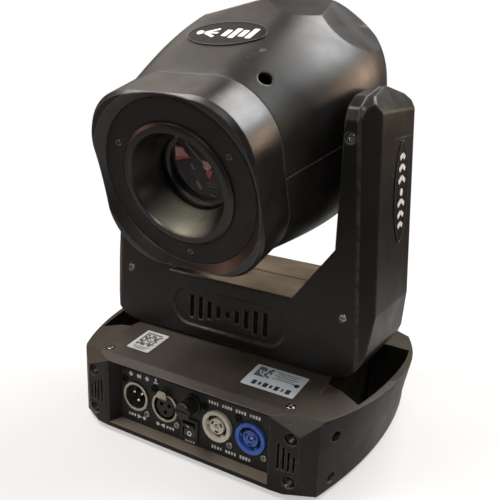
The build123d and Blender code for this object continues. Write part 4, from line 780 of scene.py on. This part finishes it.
def display_panel_marks(made):
    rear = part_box("display_panel")[1][1]
    place = Place((0, rear, 0), -X_AXIS, Z_AXIS, ["display_panel"], 0.004)
    shapes = [bar(DISPLAY_X, z, 40, 0.7) for z in (10.4, 41.6)]
    for x in BUTTON_X:
        shapes += [bar(-x, 34.0, 5.4, 0.9), bar(-x, 20.2, 3.2, 0.9)]
    films("display_panel_marks", place, shapes, made["print_panel"], "base",
          lift=0.02, thick=0.05)
    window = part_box("display_window")[1][1]
    place = Place((0, window, 0), -X_AXIS, Z_AXIS, ["display_window"], 0.004)
    rows = [bar(DISPLAY_X, 33.0, 44, 2.4, 0.0, 0.6)]
    rows += [bar(8 + 2.0 * (i % 2), 28.0 - 3.6 * i, 20 - 3 * i, 1.3, 0.0, 0.4) for i in range(4)]
    rows.append(bar(36, 22.4, 12, 10, 0.0, 1.0))
    films("display_symbols", place, rows, made["display_pale"], "base",
          lift=0.02, thick=0.05)


def button_marks(made):
    """List, up, down and dot on the four menu buttons."""
    marks = {
        "menu": [bar(0, h, 3.2, 0.55) for h in (-1.1, 0, 1.1)],
        "up": [[(-1.5, -1.0), (1.5, -1.0), (0, 1.5)]],
        "down": [[(1.5, 1.0), (-1.5, 1.0), (0, -1.5)]],
        "enter": [ellipse(0, 0, 1.3, 1.3, 20)],
    }
    for name, shapes in marks.items():
        node = "button_" + name
        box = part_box(node)
        centre = ((box[0][0] + box[1][0]) / 2, box[1][1], (box[0][2] + box[1][2]) / 2)
        films(node + "_mark", Place(centre, -X_AXIS, Z_AXIS, [node], 0.004), shapes, made["print_white"],
              name + "_button", lift=0.02, thick=0.06)


def rocker_marks(made):
    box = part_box("switch_rocker")
    centre = (box[0] + box[1]) / 2
    up = Vector((0, -math.sin(ROCKER_ANGLE), math.cos(ROCKER_ANGLE)))
    place = Place((centre[0], box[0][1], centre[2]), X_AXIS, up, ["switch_rocker"], 0.008)
    line = [bar(-0.4, 3.4, 0.9, 3.0)]
    ring, hole = [ellipse(0, -3.4, 1.9, 1.9, 24)], [ellipse(0, -3.4, 1.2, 1.2, 24)]
    for name, shapes, holes in (("line", line, None), ("ring", ring, hole)):
        films("rocker_%s_mark" % name, place, shapes, made["print_white"], "rocker",
              lift=0.02, thick=0.06, holes=holes)


# ---- connector, vent, screw and lens details ----
def power_front(node):
    """Middle of a power connector's front ring."""
    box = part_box(node)
    return Vector(((box[0][0] + box[1][0]) / 2, box[0][1], CONNECTOR_Z_M))


def power_details(made):
    """Centre contact of each power connector, with painted shade: a dark ring in the gap around the core and
    three dark films over the contact slots.
    """
    contact = [(0, -1.6), (0.9, -1.7), (1.55, -2.3), (1.6, -9.0), (0, -9.0)]
    gap = [(5.95, -3.4), (8.75, -3.4), (8.75, -4.2), (5.95, -4.2), (5.95, -3.4)]
    dark = made["insulator_black"]
    for name in ("outlet", "inlet"):
        origin = power_front("power_" + name)
        lathe("power_%s_contact" % name, contact, origin, -Y_AXIS, made["contact_gold"],
              "base", 28)
        # Dark ring in the gap around the core: painted shade for the recess.
        lathe("power_%s_gap" % name, gap, origin, -Y_AXIS, dark, "base", 40)
    shapes = []
    for angle in (-90, 30, 150):
        a = math.radians(angle)
        shapes.append(bar(4.1 * math.cos(a), 4.1 * math.sin(a), 3.1, 1.7, a + math.pi / 2, 0.3))
    # Dark films over the three contact slots: painted shade, so they read as deep.
    for name in ("outlet", "inlet"):
        core_face = Place(power_front("power_" + name) + Y_AXIS * 0.0008, X_AXIS, Z_AXIS)
        films("power_%s_slots" % name, core_face, shapes, dark, "base",
              lift=0.02, thick=0.06)


def vent_shade_sheets(made):
    """Dark sheets on the inner side of the yoke's two vents: painted shade, so the slots read as black."""
    inner_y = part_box("yoke_rear_shell")[1][1] - YOKE_WALL_M
    for name, side in (("front", -1), ("rear", 1)):
        place = Place((0, side * inner_y, VENT_Z_M), -X_AXIS * side, Z_AXIS)
        films("vent_painted_shade_" + name, place, [bar(0, 0, 78, 25, 0.0, 2.0)], made["vent_painted_shade"],
              "yoke", lift=-0.62, thick=0.6, rings=4)


def cup_profile(cup):
    """Closed profile of a thin cup that lines a round hole."""
    radius, mouth, end = cup["radius"], cup["mouth"], cup["end"]
    inner = radius - CUP_WALL
    return [(0.0, end - CUP_WALL), (radius, end - CUP_WALL), (radius, mouth), (inner, mouth), (inner, end),
            (0.0, end)]


def deep_screws(made):
    """Dark cups in the round holes of the base's corners, with a screw in each front and rear one."""
    screw = [(0.0, -6.9), (0.8, -6.9), (1.0, -6.2), (2.6, -6.5), (3.1, -7.4), (3.1, -8.9), (0.0, -8.9)]
    dark = made["insulator_black"]
    aslant = math.radians(SIDE_CUP["angle"])
    for sx in (-1, 1):
        for sy in (-1, 1):
            corner = ("r" if sx > 0 else "l") + ("f" if sy < 0 else "b")
            for height in CORNER_CUP["heights"]:
                name = "corner_cup_%s_%d" % (corner, height)
                origin = (sx * CORNER_CUP["x"], sy * CORNER_CUP["y"], height * MM)
                lathe(name, cup_profile(CORNER_CUP), origin, Y_AXIS * sy, dark, "base", 32)
                lathe(name + "_screw", screw, origin, Y_AXIS * sy, made["screw_black"],
                      "base", 28)
            for height in SIDE_CUP["heights"]:
                out = (sx * math.cos(aslant), sy * math.sin(aslant), 0)
                origin = (sx * SIDE_CUP["x"], sy * SIDE_CUP["y"], height * MM)
                lathe("side_cup_%s_%d" % (corner, height), cup_profile(SIDE_CUP), origin, out, dark,
                      "base", 32)


def prism_dome(made):
    """Dark faceted dome behind the front lens, painted shade for the unlit inside of the head."""
    bm = bmesh.new()
    rings = []
    # radius, distance along the optical axis, number of corners, turn
    for radius, out, count, turn in ((0.0, 76.6, 1, 0), (9.0, 77.6, 6, 0.3), (17.0, 76.6, 12, 0.1),
                                     (24.5, 75.4, 12, 0.36)):
        angles = [2 * math.pi * i / count + turn for i in range(count)]
        rings.append([bm.verts.new(on_head(radius * math.cos(a), radius * math.sin(a), out)) for a in angles])
    hub, first, second, outer = rings
    for i in range(6):
        j = (i + 1) % 6
        bm.faces.new((hub[0], first[i], first[j]))
        a, b, c = second[(2 * i) % 12], second[(2 * i + 1) % 12], second[(2 * i + 2) % 12]
        bm.faces.new((first[i], a, b))
        bm.faces.new((first[i], b, first[j]))
        bm.faces.new((first[j], b, c))
    for i in range(12):
        j = (i + 1) % 12
        bm.faces.new((second[i], outer[i], outer[j]))
        bm.faces.new((second[i], outer[j], second[j]))
    bm.faces.new(outer)
    finish_piece(bm, "prism_dome", made["prism_painted_shade"], "head")


def lens_details(made):
    """What shows through the front lens: retaining ring, a dark dome as painted shade, and painted glints
    standing in for the lit facets of the prism.
    """
    ring = [(25.9, 80.4), (25.9, 80.6), (25.3, 80.6), (22.4, 80.2), (21.6, 78.6), (25.9, 78.6), (25.9, 80.4)]
    lathe("lens_retaining_ring", ring, TILT, HEAD_OUT, made["cone_satin"], "head", 64)
    prism_dome(made)
    place = Place(on_head(1.2, 0.9, GLINT_PLANE_OUT), X_AXIS, HEAD_UP)
    # Painted glints: pink, pale and grey pieces on a flat plane in front of the dark dome, standing in for
    # light reflected in the prism.
    pink = [[(-17.5, 13.5), (-11.5, 13.0), (-7.0, 6.5), (-18.5, 3.5)],
            [(3.2, -2.2), (8.6, -0.6), (5.4, -7.0)]]
    pale = [[(-16.9, 12.9), (-12.0, 12.4), (-8.6, 7.6), (-17.6, 6.6)],
            [(2.2, 5.6), (6.2, 5.0), (8.4, 1.4), (5.4, -1.2), (2.4, 0.6)]]
    streaks = [bar(-3.3, -12.0, 2.0, 6.0, 0.45, 0.4), bar(6.0, -18.5, 4.5, 1.2, -0.3, 0.3),
               bar(-6.0, 0.5, 1.0, 4.0, 0.5, 0.3), bar(-3.0, 9.5, 0.9, 19.0, 0.72, 0.3),
               bar(6.5, -10.0, 8.0, 0.4, -0.05), bar(7.0, -12.0, 7.0, 0.4, -0.05)]
    for name, shapes, look, lift, thick in (("prism_painted_glint_pink", pink, "painted_glint_pink", 0.0, 0.3),
                                            ("prism_painted_glint_pale", pale, "painted_glint_pale", 0.32, 0.2),
                                            ("prism_painted_glint_streaks", streaks, "painted_glint_grey", 0.05, 0.2)):
        films(name, place, shapes, made[look], "head", lift=lift, thick=thick)


make_camera()
make_lights()
make_world()
make_floor()
MATERIALS = make_materials()
paint_nodes(MATERIALS)
for make in (head_badge, arm_badges, stickers, connector_panel_marks, display_panel_marks, button_marks,
             rocker_marks, power_details, deep_screws, vent_shade_sheets, lens_details):
    make(MATERIALS)

low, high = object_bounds()
